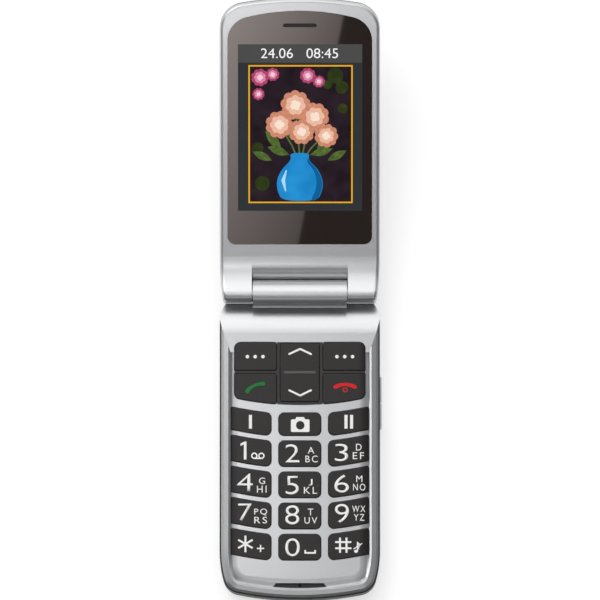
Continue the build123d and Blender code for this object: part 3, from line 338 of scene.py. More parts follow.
def thicken(piece, thickness):
    """Gives a flat face its thickness in millimetres, upwards, with closed sides."""
    pick(piece)
    solid = piece.modifiers.new("thickness", "SOLIDIFY")
    solid.thickness = thickness * MM
    solid.offset = 1
    bpy.ops.object.modifier_apply(modifier=solid.name)
    return piece


def join(pieces):
    """Makes one piece of several."""
    clear_selection()
    for piece in pieces:
        piece.select_set(True)
    bpy.context.view_layer.objects.active = pieces[0]
    if len(pieces) > 1:
        bpy.ops.object.join()
    return bpy.context.object


def cut_in_strips(piece, width):
    """Cuts a flat face into strips along X, so that it can follow a crowned key."""
    pick(piece)
    bpy.ops.object.mode_set(mode="EDIT")
    low = min(v.co.x for v in piece.data.vertices)
    high = max(v.co.x for v in piece.data.vertices)
    for step in range(1, int((high - low) / width) + 1):
        bpy.ops.mesh.select_all(action="SELECT")
        bpy.ops.mesh.bisect(plane_co=(low + step * width, 0, 0), plane_no=(1, 0, 0))
    bpy.ops.object.mode_set(mode="OBJECT")


def lay_down(mark, node):
    """Drops a flat mark, which lies above a node, onto its surface."""
    pick(mark)
    wrap = mark.modifiers.new("lay", "SHRINKWRAP")
    wrap.target = NODES[node]
    wrap.wrap_method = "PROJECT"
    wrap.use_project_x = wrap.use_project_y = False
    wrap.use_project_z = True
    wrap.use_negative_direction = True
    wrap.use_positive_direction = False
    wrap.offset = PRINT_LIFT
    bpy.ops.object.modifier_apply(modifier=wrap.name)


def print_on(marks, node, name, material, thickness):
    """Lays flat marks on a key's top, as thin as printing, and joins them."""
    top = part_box(node)[1].z
    laid = []
    for count, mark in enumerate(marks):
        cut_in_strips(mark, PRINT_STEP)
        mark.data.transform(Matrix.Translation((0, 0, top + MM)))
        lay_down(mark, node)
        laid.append(thicken(mark, thickness + PRINT_STAGGER * count))
    piece = settle(join(laid), name)
    paint(piece, material)
    body = NODES[node]["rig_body"]
    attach(piece, body)


# ------------------------------------------------------------------ outlines
def direction(angle):
    """The unit vector at an angle in radians, and the one to its left."""
    along = Vector((math.cos(angle), math.sin(angle)))
    return along, Vector((-along.y, along.x))


def disc(x, y, radius, sides=24, squeeze=1.0):
    """A circle, or an ellipse that is squeezed along Y."""
    return [(x + radius * math.cos(2 * math.pi * i / sides),
             y + radius * squeeze * math.sin(2 * math.pi * i / sides)) for i in range(sides)]


def bar(x0, x1, y0, y1):
    """A rectangle."""
    return [(x0, y0), (x1, y0), (x1, y1), (x0, y1)]


def rounded(x0, x1, y0, y1, radius, steps=5):
    """A rectangle with round corners."""
    points = []
    for cx, cy, start in ((x1 - radius, y0 + radius, -90), (x1 - radius, y1 - radius, 0),
                          (x0 + radius, y1 - radius, 90), (x0 + radius, y0 + radius, 180)):
        for i in range(steps + 1):
            angle = math.radians(start + 90 * i / steps)
            points.append((cx + radius * math.cos(angle), cy + radius * math.sin(angle)))
    return points


def star(x, y, arms, radius, width):
    """Crossed bars as one outline, with one arm pointing up."""
    points = []
    inner = width / 2 / math.sin(math.pi / arms)
    for arm in range(arms):
        along, side = direction(math.radians(90 + 360 * arm / arms))
        for shift in (-0.5, 0.5):
            point = along * radius + side * width * shift
            points.append((x + point.x, y + point.y))
        notch = math.radians(90 + 360 * (arm + 0.5) / arms)
        points.append((x + inner * math.cos(notch), y + inner * math.sin(notch)))
    return points


def ribbon(points, width, ends=3):
    """A stroke along points, with round ends; width is one number, or one for each point."""
    widths = width if isinstance(width, (list, tuple)) else [width] * len(points)
    path = [Vector(p) for p in points]
    sides = ([], [])
    for i, here in enumerate(path):
        before = path[max(i - 1, 0)]
        after = path[min(i + 1, len(path) - 1)]
        along = (after - before).normalized()
        side = Vector((-along.y, along.x))
        reach = widths[i] / 2
        if 0 < i < len(path) - 1:      # a bend is wider across, up to a limit at sharp ones
            first = (here - before).normalized()
            reach /= max(0.4, abs(first.dot(along)))
        sides[0].append(here + side * reach)
        sides[1].append(here - side * reach)
    caps = []
    for here, inner, size in ((path[-1], path[-2], widths[-1]), (path[0], path[1], widths[0])):
        along = (here - inner).normalized()
        side = Vector((-along.y, along.x))
        angles = [math.pi / 2 - math.pi * i / (ends + 1) for i in range(1, ends + 1)]
        caps.append([here + (along * math.cos(angle) + side * math.sin(angle)) * size / 2
                     for angle in angles])
    outline = sides[0] + caps[0] + sides[1][::-1] + caps[1]
    return [(p.x, p.y) for p in outline]


def arc(x, y, radius, start, end, steps):
    """Points along an arc, from start to end in degrees."""
    return [(x + radius * math.cos(math.radians(start + (end - start) * i / steps)),
             y + radius * math.sin(math.radians(start + (end - start) * i / steps)))
            for i in range(steps + 1)]


def leaf(x, y, turn, size, steps=8, bulge=0.18):
    """A pointed leaf that starts at (x, y)."""
    along, side = direction(math.radians(turn))
    points = []
    for i in range(2 * steps):
        share = i / steps if i <= steps else 2 - i / steps
        width = math.sin(math.pi * share) * size * bulge * (1 if i <= steps else -1)
        point = Vector((x, y)) + along * share * size + side * width
        points.append((point.x, point.y))
    return points


def smoothed(points, rounds=3):
    """Cuts an outline's corners until it runs smoothly."""
    for _ in range(rounds):
        cut = []
        for (ax, ay), (bx, by) in zip(points, points[1:] + points[:1]):
            cut.append((ax * 0.75 + bx * 0.25, ay * 0.75 + by * 0.25))
            cut.append((ax * 0.25 + bx * 0.75, ay * 0.25 + by * 0.75))
        points = cut
    return points


# ------------------------------------------------------------------ settings
class PhoneColours(bpy.types.PropertyGroup):
    """Colours of the lacquer and of the printing"""
    silver: bpy.props.FloatVectorProperty(
        name="Silver", description="Colour of the silver lacquer", subtype="COLOR", size=4,
        default=linear("BFC0C2"), min=0, max=1)
    legend: bpy.props.FloatVectorProperty(
        name="Legends", description="Colour of the printed digits", subtype="COLOR", size=4,
        default=linear("F6F6F4"), min=0, max=1)


class PhonePrint(bpy.types.PropertyGroup):
    """Thickness of the keys' printing, and the text in the display"""
    thickness: bpy.props.FloatProperty(
        name="Ink thickness", description="How far the printing stands on a key", unit="LENGTH",
        precision=5, default=0.02 * MM, min=0.005 * MM, max=0.1 * MM)
    clock: bpy.props.StringProperty(
        name="Clock", description="Day, month and time in the display's header",
        default="24.06   08:45")


# digits and letters: key, text, left, right, low, high, in millimetres
KEY_DIGITS = [
    ("key_2", "2", -4.71, -0.16, -4.99, 0.91),
    ("key_3", "3", 11.38, 15.66, -4.6, 1.04),
    ("key_4", "4", -20.35, -15.24, -14.4, -8.66),
    ("key_5", "5", -4.55, -0.33, -15.42, -9.48),
    ("key_6", "6", 11.21, 15.93, -14.86, -9.06),
    ("key_7", "7", -20.02, -15.54, -24.01, -18.47),
    ("key_8", "8", -4.71, -0.16, -25.22, -19.02),
    ("key_9", "9", 11.38, 15.93, -24.73, -18.56),
    ("key_0", "0", -4.71, 0.0, -35.61, -29.81),
]
KEY_LETTERS = [
    ("key_2", "A", 2.6, 4.68, -2.11, -0.01),
    ("key_2", "BC", 1.82, 5.79, -4.99, -2.8),
    ("key_3", "D", 18.23, 20.05, -1.12, 1.04),
    ("key_3", "EF", 17.19, 20.83, -3.94, -1.71),
    ("key_4", "G", -13.23, -11.25, -12.07, -9.97),
    ("key_4", "HI", -13.88, -10.79, -14.86, -12.63),
    ("key_5", "J", 2.86, 4.13, -12.53, -10.43),
    ("key_5", "KL", 1.33, 5.62, -15.25, -13.02),
    ("key_6", "M", 18.3, 20.28, -11.42, -9.32),
    ("key_6", "NO", 17.29, 21.25, -14.17, -11.97),
    ("key_7", "PQ", -14.76, -10.6, -22.33, -20.1),
    ("key_7", "RS", -14.76, -10.6, -24.92, -22.76),
    ("key_8", "T", 2.6, 4.35, -22.23, -20.1),
    ("key_8", "UV", 1.49, 5.65, -24.99, -22.89),
    ("key_9", "WX", 16.96, 21.25, -21.22, -19.12),
    ("key_9", "YZ", 17.52, 20.93, -24.01, -21.87),
]


def key_marks():
    """The symbols of the keys that aren't digits or letters, as outlines in millimetres."""
    hash_bars = [bar(12.7, 13.35, -34.49, -29.55), bar(14.8, 15.45, -34.49, -29.55),
                 bar(11.47, 16.7, -31.3, -30.7), bar(11.47, 16.7, -33.3, -32.7)]
    camera = [(-2.89, 5.2), (-2.6, 4.91), (2.86, 4.91), (3.15, 5.2), (3.15, 8.75), (2.86, 9.05),
              (1.75, 9.05), (1.35, 9.79), (-1.1, 9.79), (-1.5, 9.05), (-2.6, 9.05), (-2.89, 8.75)]
    return {
        "key_memory_1": [[bar(-16.51, -15.54, 6.02, 10.51)]],
        "key_memory_2": [[bar(14.49, 15.5, 6.02, 10.51)], [bar(16.3, 17.29, 6.02, 10.51)]],
        "key_camera": [[camera, disc(0.13, 7.1, 1.4)]],
        "key_1": [[[(-18.16, -4.07), (-17.3, -4.07), (-17.3, 1.8), (-17.95, 1.8), (-19.25, 1.1),
                    (-19.25, 0.35), (-18.16, 0.85)]],
                  [disc(-14.75, -2.85, 1.05), disc(-14.75, -2.85, 0.6)],
                  [disc(-12.45, -2.85, 1.05), disc(-12.45, -2.85, 0.6)],
                  [bar(-14.75, -12.45, -3.92, -3.45)]],
        "key_star": [[star(-17.62, -31.61, 6, 2.7, 0.62)],
                     [star(-12.72, -33.07, 4, 1.16, 0.44)]],
        "key_0": [[[(1.49, -33.58), (1.49, -34.79), (5.23, -34.79), (5.23, -33.58), (4.68, -33.58),
                    (4.68, -34.25), (2.04, -34.25), (2.04, -33.58)]]],
        "key_hash": [[outline] for outline in hash_bars] + [
            [disc(18.2, -34.0, 0.62, squeeze=0.8)],
            [ribbon([(18.65, -34.0), (18.75, -30.9), (19.6, -31.9)], 0.42)],
            [ribbon([(17.5, -33.2), (20.1, -31.5)], 0.32)]],
        "softkey_left": [[disc(x, 29.56, 0.58)] for x in (-17.03, -14.5, -11.96)],
        "softkey_right": [[disc(x, 29.56, 0.58)] for x in (12.06, 14.6, 17.13)],
        "nav_rocker": [[ribbon([(-3.45, 30.4), (0.1, 32.1), (3.64, 30.4)], 0.62)],
                       [ribbon([(-3.45, 18.55), (0.1, 16.85), (3.64, 18.55)], 0.62)]],
    }


# ------------------------------------------------------------------ pieces
class PHONE_OT_housings(bpy.types.Operator):
    """Finishes the silver and black outer parts"""
    bl_idname = "phone.housings"
    bl_label = "Housings"

    def execute(self, context):
        silver = context.scene.phone_colours.silver
        plate = silver_lacquer("silver_lacquer_on_abs", silver, PLATE_ROUGHNESS)
        # the trim's lacquer is the plate's lacquer made lighter, a painted highlight
        painted_highlight_lacquer = silver_lacquer("silver_lacquer_lightened_as_painted_highlight", shade(silver, TRIM_PAINTED_HIGHLIGHT),
                                TRIM_ROUGHNESS)
        dress(plate, "base_front_housing", "lid_front_housing")
        dress(painted_highlight_lacquer, "base_trim_frame", "volume_rocker")
        textured = moulded_plastic("textured_black_abs", "2B2B2C", "1F1F20", 0.5, 0.25, 0.02)
        dress(textured, "base_rear_housing", "lid_rear_housing", "battery_cover")
        dress(moulded_plastic("plain_black_abs", "1A1513", "130F0E", 0.5, 0.3, 0.004),
              "mic_slot_insert")
        dress(gloss_plastic("polished_black_abs", "17171A", "101012"), "lid_outer_panel")
        dress(gloss_plastic("black_lens_acrylic", "0B0B10", "050508", 0.03), "camera_lens")
        self.side_band()
        self.trim_slope()
        return {"FINISHED"}

    def side_band(self):
        """The wall and the ledge outside the trim frame are a black band."""
        mesh = NODES["base_front_housing"].data
        mesh.materials.append(bpy.data.materials["textured_black_abs"])
        for face in mesh.polygons:
            low = max(mesh.vertices[i].co.z for i in face.vertices) < BAND_TOP
            upright = abs(face.normal.z) < UPRIGHT
            ledge = face.normal.z > LEVEL and face.center.y < SHOULDER
            face.material_index = 1 if low and (upright or ledge) else 0

    def trim_slope(self):
        """The trim frame's outer slope takes the plate's darker lacquer as painted shade; its
        crest and its inner chamfer keep the lighter copy as a painted highlight.
        """
        mesh = NODES["base_trim_frame"].data
        # the plate's darker lacquer on the outer slope is painted shade
        mesh.materials.append(bpy.data.materials["silver_lacquer_on_abs"])
        for face in mesh.polygons:
            ahead = face.center.y if face.center.y < BOTTOM_BEND else 0
            outward = face.normal.x * face.center.x + face.normal.y * ahead > 0
            face.material_index = 1 if outward and face.normal.z < LEVEL else 0


class PHONE_OT_keys(bpy.types.Operator):
    """Finishes the key caps and the ribs between the navigation keys"""
    bl_idname = "phone.keys"
    bl_label = "Key caps"

    def execute(self, context):
        dress(moulded_plastic("satin_black_polycarbonate", "1D1918", "181514", 0.36, 0.3, 0.002,
                              ior=1.41), *KEYS)
        dress(moulded_plastic("satin_black_abs", "1F1C1B", "1A1716", 0.36, 0.3, 0.002),
              "nav_bezel")
        return {"FINISHED"}


class PHONE_OT_inside(bpy.types.Operator):
    """Finishes the parts inside the housings and the hinge"""
    bl_idname = "phone.inside"
    bl_label = "Inner parts"

    def execute(self, context):
        dress(moulded_plastic("black_solder_resist", "141715", "0E100F", 0.4, 1.2, 0.01),
              "main_board", "lid_board", "side_switch_board")
        dress(moulded_plastic("polyimide_film", "C9862F", "A96A1E", 0.35, 0.8, 0.005),
              "hinge_flex", "dome_sheet")
        dress(moulded_plastic("grey_silicone_rubber", "9A9B9C", "8A8B8C", 0.6, 0.5, 0.01),
              "keypad_mat")
        dress(metal("tin_plated_sheet", "C2C2BE", "A5A5A0", 0.35, (1, 8, 1)),
              "shield_can", "sim_holder", "usb_port", "display_frame")
        dress(metal("turned_steel", "B8B8B6", "8E8E8C", 0.32, (8, 1, 1)),
              "vibration_motor", "base_screws", "lid_screws", "hinge_capsule", "hinge_shaft",
              "hinge_cam_follower", "hinge_spring", "hinge_bush", "lid_magnet")
        dress(metal("copper_foil", "C98B5E", "A96C42", 0.3), "antenna")
        dress(metal("anodised_aluminium_can", "55565A", "46474B", 0.4, (1, 6, 1)), "battery")
        dress(moulded_plastic("black_liquid_crystal_polymer", "1C1C1C", "141414", 0.5, 0.4, 0.01),
              "battery_contacts", "loudspeaker", "microphone", "earpiece_receiver",
              "camera_module", "earpiece_mesh")
        return {"FINISHED"}


class PHONE_OT_key_print(bpy.types.Operator):
    """Prints digits, letters and symbols on the keys"""
    bl_idname = "phone.key_print"
    bl_label = "Key printing"

    def execute(self, context):
        thickness = context.scene.phone_print.thickness / MM
        white = ink("white_screen_ink", context.scene.phone_colours.legend)
        green = ink("green_screen_ink", linear("067A2E"))
        red = ink("red_screen_ink", linear("DE0F18"))
        marks = {key: [outline_piece(loops) for loops in groups]
                 for key, groups in key_marks().items()}
        for key, text, *box in KEY_DIGITS:
            marks.setdefault(key, []).append(glyph_piece(text, box, DIGIT_WEIGHT))
        for key, text, *box in KEY_LETTERS:
            marks.setdefault(key, []).append(glyph_piece(text, box, 0.0, LETTER_SPACING))
        for key, pieces in marks.items():
            print_on(pieces, key, "print_" + key, white, thickness)
        handset = ribbon([(-17.1, 18.25), (-16.5, 18.95), (-15.5, 19.75), (-14.2, 20.35),
                          (-12.9, 20.65), (-11.8, 20.7)], [1.3, 1.15, 0.85, 0.85, 1.05, 1.25])
        print_on([outline_piece([handset])], "call_key", "print_call_key", green, thickness)
        handset = ribbon([(11.55, 19.65), (12.6, 20.15), (14.7, 20.5), (16.8, 20.15),
                          (17.85, 19.65)], [1.3, 1.15, 1.0, 1.15, 1.3])
        ring = [ribbon(arc(14.72, 18.7, 0.7, 125, 415, 14), 0.26)]
        stem = [ribbon([(14.72, 18.9), (14.72, 19.5)], 0.24)]
        print_on([outline_piece([handset]), outline_piece(ring), outline_piece(stem)],
                 "end_key", "print_end_key", red, thickness)
        grey = ink("grey_screen_ink", linear("5A5654"))
        print_on([outline_piece([rounded(-5.2, 5.2, 24.03, 24.83, 0.35)])],
                 "nav_rocker", "print_rocker_bar", grey, thickness)
        print_on([outline_piece([disc(x, -12.6, 0.16, 12)]) for x in (-5.5, 5.7)],
                 "key_5", "print_key_5_pips", grey, thickness)
        return {"FINISHED"}


class PHONE_OT_window(bpy.types.Operator):
    """Makes the window clear in the middle and opaque black round its border"""
    bl_idname = "phone.window"
    bl_label = "Window"

    def execute(self, context):
        glass, tree, shader = start_material("hard_coated_acrylic", IOR=1.49, Roughness=0.015,
                                             Specular_Tint=(1.0, 0.88, 0.84, 1.0))
        vary(tree, shader, grain(tree, 5.0), "Base Color", "1C110E", "180E0B")
        place = add_node(tree, "ShaderNodeTexCoord")
        split = add_node(tree, "ShaderNodeSeparateXYZ", {0: place.outputs["Object"]})
        across, along = (self.beyond(tree, split.outputs[axis], middle, half)
                         for axis, middle, half in zip("XY", CLEAR_MIDDLE, CLEAR_HALF))
        outside = add_node(tree, "ShaderNodeMath", {0: across, 1: along}, operation="MAXIMUM")
        tree.links.new(outside.outputs[0], shader.inputs["Alpha"])
        dress(glass, "display_window")
        dress(gloss_plastic("black_display_glass", "1A1B1D", "141517"), "display_panel")
        return {"FINISHED"}

    def beyond(self, tree, distance, middle, half):
        """1 where a coordinate is further than half from the middle, and 0 nearer."""
        offset = add_node(tree, "ShaderNodeMath", {0: distance, 1: middle}, operation="SUBTRACT")
        offset = add_node(tree, "ShaderNodeMath", {0: offset.outputs[0]}, operation="ABSOLUTE")
        return add_node(tree, "ShaderNodeMath", {0: offset.outputs[0], 1: half},
                        operation="GREATER_THAN").outputs[0]


class PHONE_OT_screen(bpy.types.Operator):
    """Lights the display: a header with a clock, and a framed still life"""
    bl_idname = "phone.screen"
    bl_label = "Display content"

    def execute(self, context):
        # each layer lies a little above those that it covers
        self.layer("screen_ground", [[bar(-21.0, 21.0, 26.5, 82.3)]],
                   lit("lit_screen_ground", "33373A", "2F3335", 9.0), -1.49)
        self.layer("screen_header", [[bar(-20.05, 20.25, 75.44, 81.6)]],
                   lit("lit_header_grey", "4E4E4E", "4A4A4A", 4.0), -1.475)
        white = lit("lit_white", "F2F2F2", "FFFFFF")
        clock = glyph_piece(context.scene.phone_print.clock, (-12.6, 12.4, 76.9, 80.1),
                            CLOCK_WEIGHT)
        self.finish(clock, "screen_clock", white, -1.465)
        self.layer("screen_picture_frame",
                   [[bar(-16.67, 17.16, 29.58, 74.65), bar(-16.2, 16.69, 30.05, 74.18)]],
                   lit("lit_amber", "E7A61C", "F2B52A"), -1.465)
        self.still_life()
        return {"FINISHED"}

    def layer(self, name, groups, material, height):
        """A layer of the display from groups of outlines, each group a face with its holes."""
        pieces = [outline_piece(loops) for loops in groups]
        self.finish(join(pieces), name, material, height)

    def finish(self, piece, name, material, height):
        """Puts a flat piece in the lid, at a height in millimetres from the hinge's own plane."""
        piece = thicken(piece, FILM)
        piece.data.transform(Matrix.Translation((0, 0, height * MM)))
        piece = settle(piece, name, LID_PLACE)
        paint(piece, material)
        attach(piece, "lid")

    def still_life(self):
        """A vase of blossoms before a dim garden."""
        self.layer("picture_garden", [[bar(-16.2, 16.69, 30.05, 74.18)]],
                   lit("lit_dim_garden", "150D14", "352932", 5.0), -1.475)
        bushes = [[disc(*place)] for place in (
            (11.5, 71.2, 2.6), (13.6, 67.4, 2.1), (9.0, 68.3, 1.5), (13.9, 60.5, 1.6),
            (-13.6, 47.6, 1.8), (-12.2, 36.0, 2.4))]
        self.layer("picture_far_green", bushes, lit("lit_far_green", "1E2A14", "3E4A22", 3.0),
                   -1.470)
        self.flowers("picture_far_blossom",
                     ((-12.9, 70.6, 2.9), (-8.8, 71.6, 2.2), (-13.4, 65.2, 2.0), (2.6, 71.2, 2.6),
                      (6.2, 69.3, 2.0)),
                     (("8E3054", "C4557E"), ("CE6E96", "E99ABA"), ("F0BCCF", "F8D8E2")), -1.466)
        leaves = [[leaf(*place)] for place in (
            (-6, 47, 130, 8), (5.5, 46.5, 52, 8.5), (-2.5, 50, 105, 9), (3, 51, 70, 9.5),
            (-9, 43.5, 155, 7), (9, 43.5, 28, 7), (-3.4, 45.4, 160, 7.5), (3.4, 45.4, 15, 7.5))]
        self.layer("picture_leaves", leaves, lit("lit_leaf_green", "2C3D1B", "6A8640", 1.5),
                   -1.462)
        stems = [[ribbon([(0.2, 42), (x * 0.4, y * 0.5 + 21), (x, y)], 0.5)]
                 for x, y in ((-6.5, 55), (-1.5, 61), (4.5, 58), (8.5, 52.5))]
        self.layer("picture_stems", stems, lit("lit_stem_green", "4A5A2A", "6B8040"), -1.458)
        self.flowers("picture_blossom",
                     ((-6.6, 55.2, 4.6), (-1.4, 61.6, 4.9), (4.9, 57.8, 4.7), (8.6, 51.6, 3.9),
                      (0.6, 52.9, 4.2)),
                     (("B76B52", "E0A083"), ("E3A98C", "F3CBB4"), ("F4D3BC", "FFF0E2")), -1.454)
        vase = [(-3.4, 46.0), (-2.6, 43.8), (-6.0, 40.6), (-7.6, 36.8), (-7.2, 33.2), (-5.6, 30.3),
                (5.6, 30.3), (7.2, 33.2), (7.6, 36.8), (6.0, 40.6), (2.6, 43.8), (3.4, 46.0)]
        self.layer("picture_vase", [[smoothed(vase)]],
                   lit("lit_glazed_blue", "0E6FB4", "2FA0E2", 6.0), -1.438)
        shadow = [(3.2, 44.6), (2.0, 43.4), (4.6, 40.4), (5.6, 36.8), (5.0, 33.2), (3.4, 30.5),
                  (5.5, 30.5), (7.0, 33.2), (7.4, 36.8), (5.8, 40.5), (2.7, 43.6)]
        self.layer("picture_vase_shadow", [[smoothed(shadow)]],
                   lit("lit_deep_blue", "0B568E", "15689F", 2.0), -1.434)
        shine = ribbon([(-4.6, 33.6), (-5.4, 37.0), (-4.4, 40.2)], [0.4, 1.2, 0.4])
        self.layer("picture_vase_shine", [[shine]],
                   lit("lit_pale_blue", "8CCBEF", "C9E9FA", 2.0), -1.430)

    def flowers(self, name, places, tones, height):
        """Three rings of round petals for each place (x, y, size), paler towards the middle."""
        reaches = (0.66, 0.4, 0.16)
        counts = (9, 7, 4)
        for ring, (reach, petals, tone) in enumerate(zip(reaches, counts, tones)):
            spots = []
            for number, (x, y, size) in enumerate(places):
                for petal in range(petals):
                    angle = 2 * math.pi * (petal + 0.5 * ring + 0.3 * number) / petals
                    spots.append([disc(x + size * reach * math.cos(angle),
                                       y + size * reach * math.sin(angle),
                                       size * (0.34 - 0.07 * ring), 12)])
            self.layer("%s_ring_%d" % (name, ring), spots,
                       lit("lit_%s_%d" % (name, ring), tone[0], tone[1], 0.7),
                       height + 0.005 * ring)


class PHONE_OT_stage(bpy.types.Operator):
    """Sets the floor, the world, the lamps and the camera"""
    bl_idname = "phone.stage"
    bl_label = "Stage"

    def execute(self, context):
        scene = context.scene
        scene.view_settings.view_transform = "Standard"
        self.floor()
        self.world(scene)
        self.lamps()
        self.camera(scene)
        return {"FINISHED"}

    def floor(self):
        """White paper, which is white to the eye, to metal and to glass, and keeps the shadow."""
        clear_selection()
        bpy.ops.mesh.primitive_plane_add(size=FLOOR_SIZE, location=(0, 0, -FLOOR_DROP))
        ground = settle(bpy.context.object, "floor")
        material = bpy.data.materials.new("white_paper")
        material.use_nodes = True
        tree = material.node_tree
        tree.nodes.clear()
        paper = add_node(tree, "ShaderNodeBsdfDiffuse", {"Color": linear("C4C4C4")})
        path = add_node(tree, "ShaderNodeLightPath")
        seen = path.outputs["Is Camera Ray"]
        for ray in ("Is Glossy Ray", "Is Transmission Ray"):
            seen = add_node(tree, "ShaderNodeMath", {0: seen, 1: path.outputs[ray]},
                            operation="MAXIMUM").outputs[0]
        level = add_node(tree, "ShaderNodeMath", {0: seen, 1: FLOOR_GLOW}, operation="MULTIPLY")
        glow = add_node(tree, "ShaderNodeEmission", {"Strength": level.outputs[0]})
        both = add_node(tree, "ShaderNodeAddShader", {0: paper.outputs[0], 1: glow.outputs[0]})
        add_node(tree, "ShaderNodeOutputMaterial", {"Surface": both.outputs[0]})
        ground.data.materials.append(material)

    def world(self, scene):
        """A studio that is bright behind the lid, and dark low in front and at both sides."""
        world = bpy.data.worlds.new("studio")
        scene.world = world
        world.use_nodes = True
        tree = world.node_tree
        tree.nodes.clear()
        place = add_node(tree, "ShaderNodeTexCoord")
        split = add_node(tree, "ShaderNodeSeparateXYZ", {0: place.outputs["Generated"]})
        depth = self.graded(tree, split.outputs["Y"], (
            (-1, 0.05), (-0.92, 0.09), (-0.6, 0.2), (-0.45, 0.30), (-0.36, 0.33), (-0.25, 0.58),
            (-0.12, 0.85), (0, 0.45), (0.13, 0.24), (0.2, 0.55), (0.3, 1.4), (0.45, 1.95),
            (0.8, 1.8), (1, 1.3)))
        side = self.graded(tree, split.outputs["X"], (
            (-1, 0.25), (-0.95, 0.35), (-0.85, 0.5), (-0.6, 0.65), (-0.3, 0.9), (-0.15, 1.05),
            (0, 1.05), (0.3, 0.85), (0.62, 0.55), (0.85, 0.38), (0.95, 0.3), (1, 0.25)))
        level = add_node(tree, "ShaderNodeMath", {0: depth, 1: side}, operation="MULTIPLY")
        sky = add_node(tree, "ShaderNodeBackground",
                       {"Color": linear("FFFFFF"), "Strength": level.outputs[0]})
        add_node(tree, "ShaderNodeOutputWorld", {"Surface": sky.outputs[0]})

    def graded(self, tree, value, stops):
        """A value from -1 to 1 turned into a level, straight from stop to stop."""
        share = add_node(tree, "ShaderNodeMapRange", {"Value": value, "From Min": -1.0})
        ramp = add_node(tree, "ShaderNodeValToRGB", {"Fac": share.outputs[0]})
        elements = ramp.color_ramp.elements
        while len(elements) < len(stops):
            elements.new(0.5)
        for element, (at, level) in zip(elements, stops):
            element.position = (at + 1) / 2
            element.color = (level / RAMP_TOP, level / RAMP_TOP, level / RAMP_TOP, 1)
        return add_node(tree, "ShaderNodeMath", {0: ramp.outputs["Color"], 1: RAMP_TOP},
                        operation="MULTIPLY").outputs[0]

    def lamps(self):
        """A high key light, a strip low at the left, small ones near by, a card for the window."""
        for name, place, width, height, power, aim in (
                ("key_softbox", (-0.68, 0.66, 1.0), 0.9, 0.9, 4.4, (0, 0.03, 0.01)),
                ("left_strip", (-0.6, 0.0, 0.045), 0.5, 0.04, 0.36, (0, 0.0, 0.03)),
                ("near_softbox", (-0.065, 0.035, 0.42), 0.13, 0.07, 0.076, (-0.065, 0.035, 0.0)),
                ("hinge_strip", (0, 0.0955, 0.21), 0.12, 0.03, 0.0145, (0, 0.055, 0.012)),
                ("front_strip", (0, -0.20, 0.25), 0.30, 0.06, 0.045, (0, -0.048, 0.01))):
            self.lamp(name, place, width, height, power, aim)
        away = Vector((0, -math.sin(WINDOW_MIRROR), math.cos(WINDOW_MIRROR)))
        card = self.lamp("window_softbox", WINDOW_MIDDLE + away * CARD_DISTANCE,
                         CARD_WIDTH, CARD_HEIGHT, CARD_POWER, WINDOW_MIDDLE)
        card.rotation_euler.rotate_axis("Z", CARD_TURN)
        card.location += card.rotation_euler.to_matrix() @ CARD_SLIDE + CARD_SHIFT
        self.fade(card)

    def fade(self, card):
        """Dims a softbox towards its right side and its foot, as behind uneven cloth."""
        card.data.use_nodes = True
        tree = card.data.node_tree
        place = add_node(tree, "ShaderNodeNewGeometry")
        split = add_node(tree, "ShaderNodeSeparateXYZ", {0: place.outputs["Parametric"]})
        across = add_node(tree, "ShaderNodeMapRange",
                          {"Value": split.outputs["X"], "To Min": 1.2, "To Max": 0.35})
        along = add_node(tree, "ShaderNodeMapRange",
                         {"Value": split.outputs["Y"], "To Min": 0.5, "To Max": 1.1})
        level = add_node(tree, "ShaderNodeMath", {0: across.outputs[0], 1: along.outputs[0]},
                         operation="MULTIPLY")
        tree.links.new(level.outputs[0], tree.nodes["Emission"].inputs["Strength"])

    def lamp(self, name, place, width, height, power, aim):
        """A rectangular softbox, sizes in metres and power in watts, turned to face its aim."""
        bpy.ops.object.light_add(type="AREA", location=place)
        lamp = bpy.context.object
        lamp.name = name
        lamp.data.shape = "RECTANGLE"
        lamp.data.size = width
        lamp.data.size_y = height
        lamp.data.energy = power
        turn = (Vector(aim) - Vector(place)).to_track_quat("-Z", "Y")
        lamp.rotation_euler = turn.to_euler()
        lamp.visible_camera = False
        return lamp

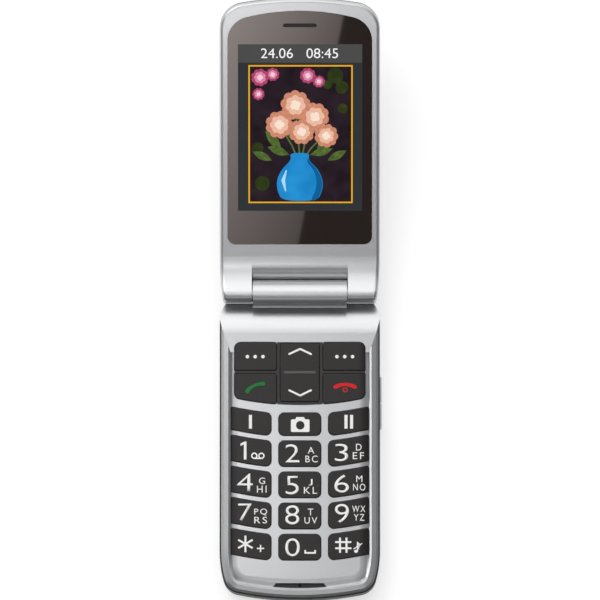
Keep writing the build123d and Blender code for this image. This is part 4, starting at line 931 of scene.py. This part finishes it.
    def camera(self, scene):
        """A long lens above the open phone, which sees base and lid at the same slant."""
        bpy.ops.object.camera_add()
        camera = bpy.context.object
        camera.name = "camera"
        camera.data.sensor_width = 36
        camera.data.lens = LENS
        back = Vector((0, -math.cos(CAMERA_ELEVATION), math.sin(CAMERA_ELEVATION)))
        up = Vector((0, math.sin(CAMERA_ELEVATION), math.cos(CAMERA_ELEVATION)))
        aim = HINGE + up * AIM_UP + Vector((AIM_RIGHT, 0, 0))
        camera.location = aim + back * CAMERA_DISTANCE
        camera.rotation_euler = (-back).to_track_quat("-Z", "Y").to_euler()
        camera.data.clip_end = 20
        camera.data.dof.use_dof = False
        scene.camera = camera


class PHONE_PT_panel(bpy.types.Panel):
    """Shows the phone's settings and a button for each stage"""
    bl_idname = "PHONE_PT_panel"
    bl_label = "Clamshell phone"
    bl_space_type = "VIEW_3D"
    bl_region_type = "UI"
    bl_category = "Phone"

    def draw(self, context):
        layout = self.layout
        layout.prop(context.scene.phone_colours, "silver")
        layout.prop(context.scene.phone_colours, "legend")
        layout.prop(context.scene.phone_print, "thickness")
        layout.prop(context.scene.phone_print, "clock")
        for operator in OPERATORS:
            layout.operator(operator.bl_idname)


OPERATORS = (PHONE_OT_stage, PHONE_OT_housings, PHONE_OT_keys, PHONE_OT_inside,
             PHONE_OT_key_print, PHONE_OT_window, PHONE_OT_screen)
CLASSES = (PhoneColours, PhonePrint) + OPERATORS + (PHONE_PT_panel,)


def register():
    for cls in CLASSES:
        bpy.utils.register_class(cls)
    bpy.types.Scene.phone_colours = bpy.props.PointerProperty(type=PhoneColours)
    bpy.types.Scene.phone_print = bpy.props.PointerProperty(type=PhonePrint)


def unregister():
    del bpy.types.Scene.phone_print
    del bpy.types.Scene.phone_colours
    for cls in reversed(CLASSES):
        bpy.utils.unregister_class(cls)


def main():
    """Runs every stage in order."""
    register()
    bpy.ops.phone.stage()
    bpy.ops.phone.housings()
    bpy.ops.phone.keys()
    bpy.ops.phone.inside()
    bpy.ops.phone.key_print()
    bpy.ops.phone.window()
    bpy.ops.phone.screen()


if __name__ == "__main__":
    main()
